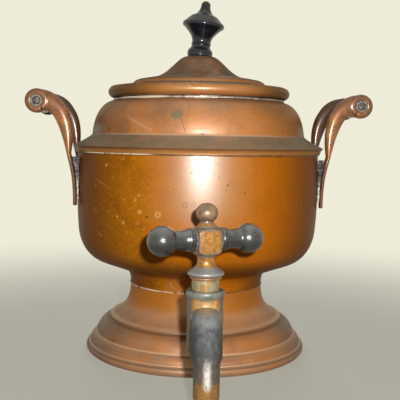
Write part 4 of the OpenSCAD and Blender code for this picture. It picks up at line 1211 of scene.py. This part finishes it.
tap.give(base_color=tone, roughness=0.34 + 0.2 * mottle + 0.2 * belly,
         metallic=0.4 + 0.45 * streaks_and_painted_glint - 0.2 * mint - 0.34 * belly,
         coat_weight=0.3 - 0.28 * spout * level.rise(38, 48))
tap.bump(mottle + mint * 0.5 + scuffed * 0.4, 0.16, 0.75)

# %% [markdown]
# The key is warmer. Its boss was filed square, and each flat side has gone grey along its
# edges. The key's own turn is taken out of the places before the edges are found.

# %% Key brass
key = Finish("key_patina", specular_ior_level=0.3, coat_weight=0.25, coat_roughness=0.22)
mottle = key.noise(3.2, 5, 0.7, shift=24)
level = key.z + 3 * (key.noise(9, shift=6) - 0.5)
turn_cos, turn_sin = math.cos(HANDLE_TURN), math.sin(HANDLE_TURN)
off_y = key.y - TAP_Y
over = abs(key.x * turn_cos + off_y * turn_sin)
past = abs(off_y * turn_cos - key.x * turn_sin)
worn_edge = over.least(past).rise(6.8, 8.6).most(1 - key.z.band(117, 133, 1.6))
holes = key.cells(1.9, shift=3).fall(0.12, 0.26) * key.z.band(114, 136, 1.5)
tone = key.layers(
    (0.48, 0.22, 0.045),
    (mottle.rise(0.4, 0.64) * 0.85, (0.22, 0.095, 0.03)),
    (worn_edge * key.z.band(113.5, 136.5, 0.8) * 0.8, (0.13, 0.13, 0.125)),
    (level.band(99.8, 106, 1) * 0.9, (0.25, 0.27, 0.27)),
    (level.band(96.6, 99.4, 0.6) * 0.75, (0.28, 0.17, 0.125)),
    (level.band(88, 96, 1.2) * 0.5, (0.36, 0.25, 0.13)),
    (level.band(88, 96, 1.2) * key.noise(5, 3, 0.55, shift=40).rise(0.42, 0.58) * 0.75,
     (0.34, 0.37, 0.28)),
    (level.rise(136, 140) * 0.85, (0.13, 0.105, 0.085)),
    (key.noise(6, 3, 0.55, shift=90).rise(0.4, 0.55) * key.z.rise(140, 143) * 0.7,
     (0.36, 0.21, 0.11)),
    ((mottle.rise(0.6, 0.8) * 0.5).most(holes * 0.6), BRASS_DARK))
key.give(base_color=tone, roughness=0.3 + 0.22 * mottle, metallic=0.4)
key.bump(mottle - holes * 0.8, 0.14, 0.65)

# %% [markdown]
# ## Small metals and the gasket
#
# Screws, washers and the stud share a simple recipe: one colour, one darker colour, and a
# noise that decides between them.


# %% Small metals
def plain_metal(name, bright, dull, metallic, seed, rough=0.32):
    """A worn metal of two tones."""
    made = Finish(name, metallic=metallic)
    worn = made.noise(3, 4, 0.65, shift=seed)
    made.give(base_color=made.mix(worn.rise(0.38, 0.64), bright, dull), roughness=rough + 0.3 * worn)
    made.bump(worn, 0.1, 0.6)
    return made


iron = plain_metal("oxidised_iron", (0.16, 0.14, 0.14), (0.06, 0.05, 0.055), 0.6, 3, 0.36)
pale_brass = plain_metal("pale_brass", (0.50, 0.44, 0.30), (0.22, 0.19, 0.13), 0.75, 9)
dull_brass = plain_metal("dull_brass", (0.26, 0.24, 0.19), (0.10, 0.09, 0.07), 0.5, 19, 0.4)
fibre = plain_metal("pressed_fibre", (0.13, 0.08, 0.05), (0.07, 0.045, 0.03), 0.0, 5, 0.6)

# %% [markdown]
# ## Handing out the finishes
#
# Every piece we made, and every solid of the frame that still shows, gets one finish.

# %% Assign
worn_by = {
    foot: "spun_foot", amber: "spun_bowl", dome: "spun_shoulder", lid: "spun_lid",
    horn: " ".join(arm.name for arm in arms),
    finial_black: "turned_finial", grip_black: "turned_grip_left turned_grip_right",
    handle_grey: "wooden_arm_left wooden_arm_right",
    tap: "cast_tap key_washer key_nut", key: "tap_key_turned",
    seam_tin: "neck_solder shoulder_solder", lumpy: "solder_run_left solder_run_right",
    tin: "tinned_collar bowl_floor lid_flange finial_washer",
    iron: "finial_stud grip_screws_left grip_screws_right handle_rod",
    pale_brass: "finial_nut tap_socket",
    dull_brass: "grip_washers_left grip_washers_right ferrule_pair",
    fibre: "tap_gasket"}
given = {name: made for made, names in worn_by.items() for name in names.split()}
for name, made in given.items():
    piece = bpy.data.objects[name]
    piece.data.materials.clear()
    piece.data.materials.append(made.material)
print(len(given), "pieces have a finish")

# %% [markdown]
# ## Stage and light
#
# The urn stands on a pale floor that fades into a pale backdrop. The fade is seen only by the
# camera and by reflections, so it adds no light. A small soft lamp stands close above the
# camera, with a beam narrow enough that little of it comes back from the floor. A wide one
# hangs overhead, a third lights the back but is hidden from reflections, and the world fills
# the rest.

# %% Stage
BACKDROP, FLOOR_TONE, FLOOR_R = (0.86, 0.84, 0.69), (0.27, 0.265, 0.255), 4.0
NEAR_MIX = 0.36


def seen_directly(nodes):
    """1 for camera, glossy and transmission rays."""
    camera_ray, glossy_ray, passing_ray = (
        nodes.node("LightPath", {}, {}, f"Is {kind} Ray") for kind in ("Camera", "Glossy", "Transmission"))
    return camera_ray.most(glossy_ray).most(passing_ray)


floor_mesh = bmesh.new()
bmesh.ops.create_circle(floor_mesh, cap_ends=True, segments=96, radius=FLOOR_R)
floor_data = bpy.data.meshes.new("floor")
floor_mesh.to_mesh(floor_data)
floor_mesh.free()
floor = show("floor", floor_data)
ground = Finish("pale_floor", base_color=FLOOR_TONE, roughness=0.8, specular_ior_level=0.1)
fade = (ground.x * ground.x + ground.y * ground.y) ** 0.5
mask = (NEAR_MIX + (1 - NEAR_MIX) * fade.rise(180, 800)) * seen_directly(ground)
glow = ground.node("Emission", {}, {"Color": (*BACKDROP, 1)})
blend = ground.node("MixShader", {}, {0: mask, 1: Wire(ground, ground.shader.outputs[0]), 2: glow})
ground.tree.links.new(blend.socket, ground.output.inputs[0])
floor.data.materials.append(ground.material)
print("the floor is", floor.dimensions.x, "m wide")

# %% Lamps and world
FILL = 0.03


def lamp(name, place, target, size, watts, spread=180):
    """A square soft lamp that faces a point."""
    data = bpy.data.lights.new(name, "AREA")
    data.size, data.energy, data.spread = size, watts, math.radians(spread)
    made = show(name, data)
    made.rotation_euler = (Vector(target) - Vector(place)).to_track_quat("-Z", "Y").to_euler()
    made.location = place
    return made


lamp("key_lamp", (0.012, -0.725, 0.248), (0, 0, 0.14), size=0.022, watts=1.12, spread=85)
lamp("top_lamp", (0.0, -0.1, 1.25), (0, 0, 0.1), size=0.9, watts=0.8)
back_lamp = lamp("back_lamp", (0.0, 1.15, 0.42), (0, 0, 0.15), size=0.7, watts=7.0, spread=120)
back_lamp.visible_glossy = False

world = bpy.data.worlds.new("studio")
world.use_nodes = True
bpy.context.scene.world = world
sky = Nodes(world.node_tree)
strength = sky.node("MapRange", {}, {"Value": seen_directly(sky), "To Min": FILL, "To Max": 1.0})
light = sky.node("Background", {}, {"Color": (*BACKDROP, 1), "Strength": strength})
sky.tree.links.new(light.socket, sky.tree.nodes.new("ShaderNodeOutputWorld").inputs[0])
bpy.context.scene.view_settings.view_transform = "Standard"
print("three lamps and a fill of", FILL)
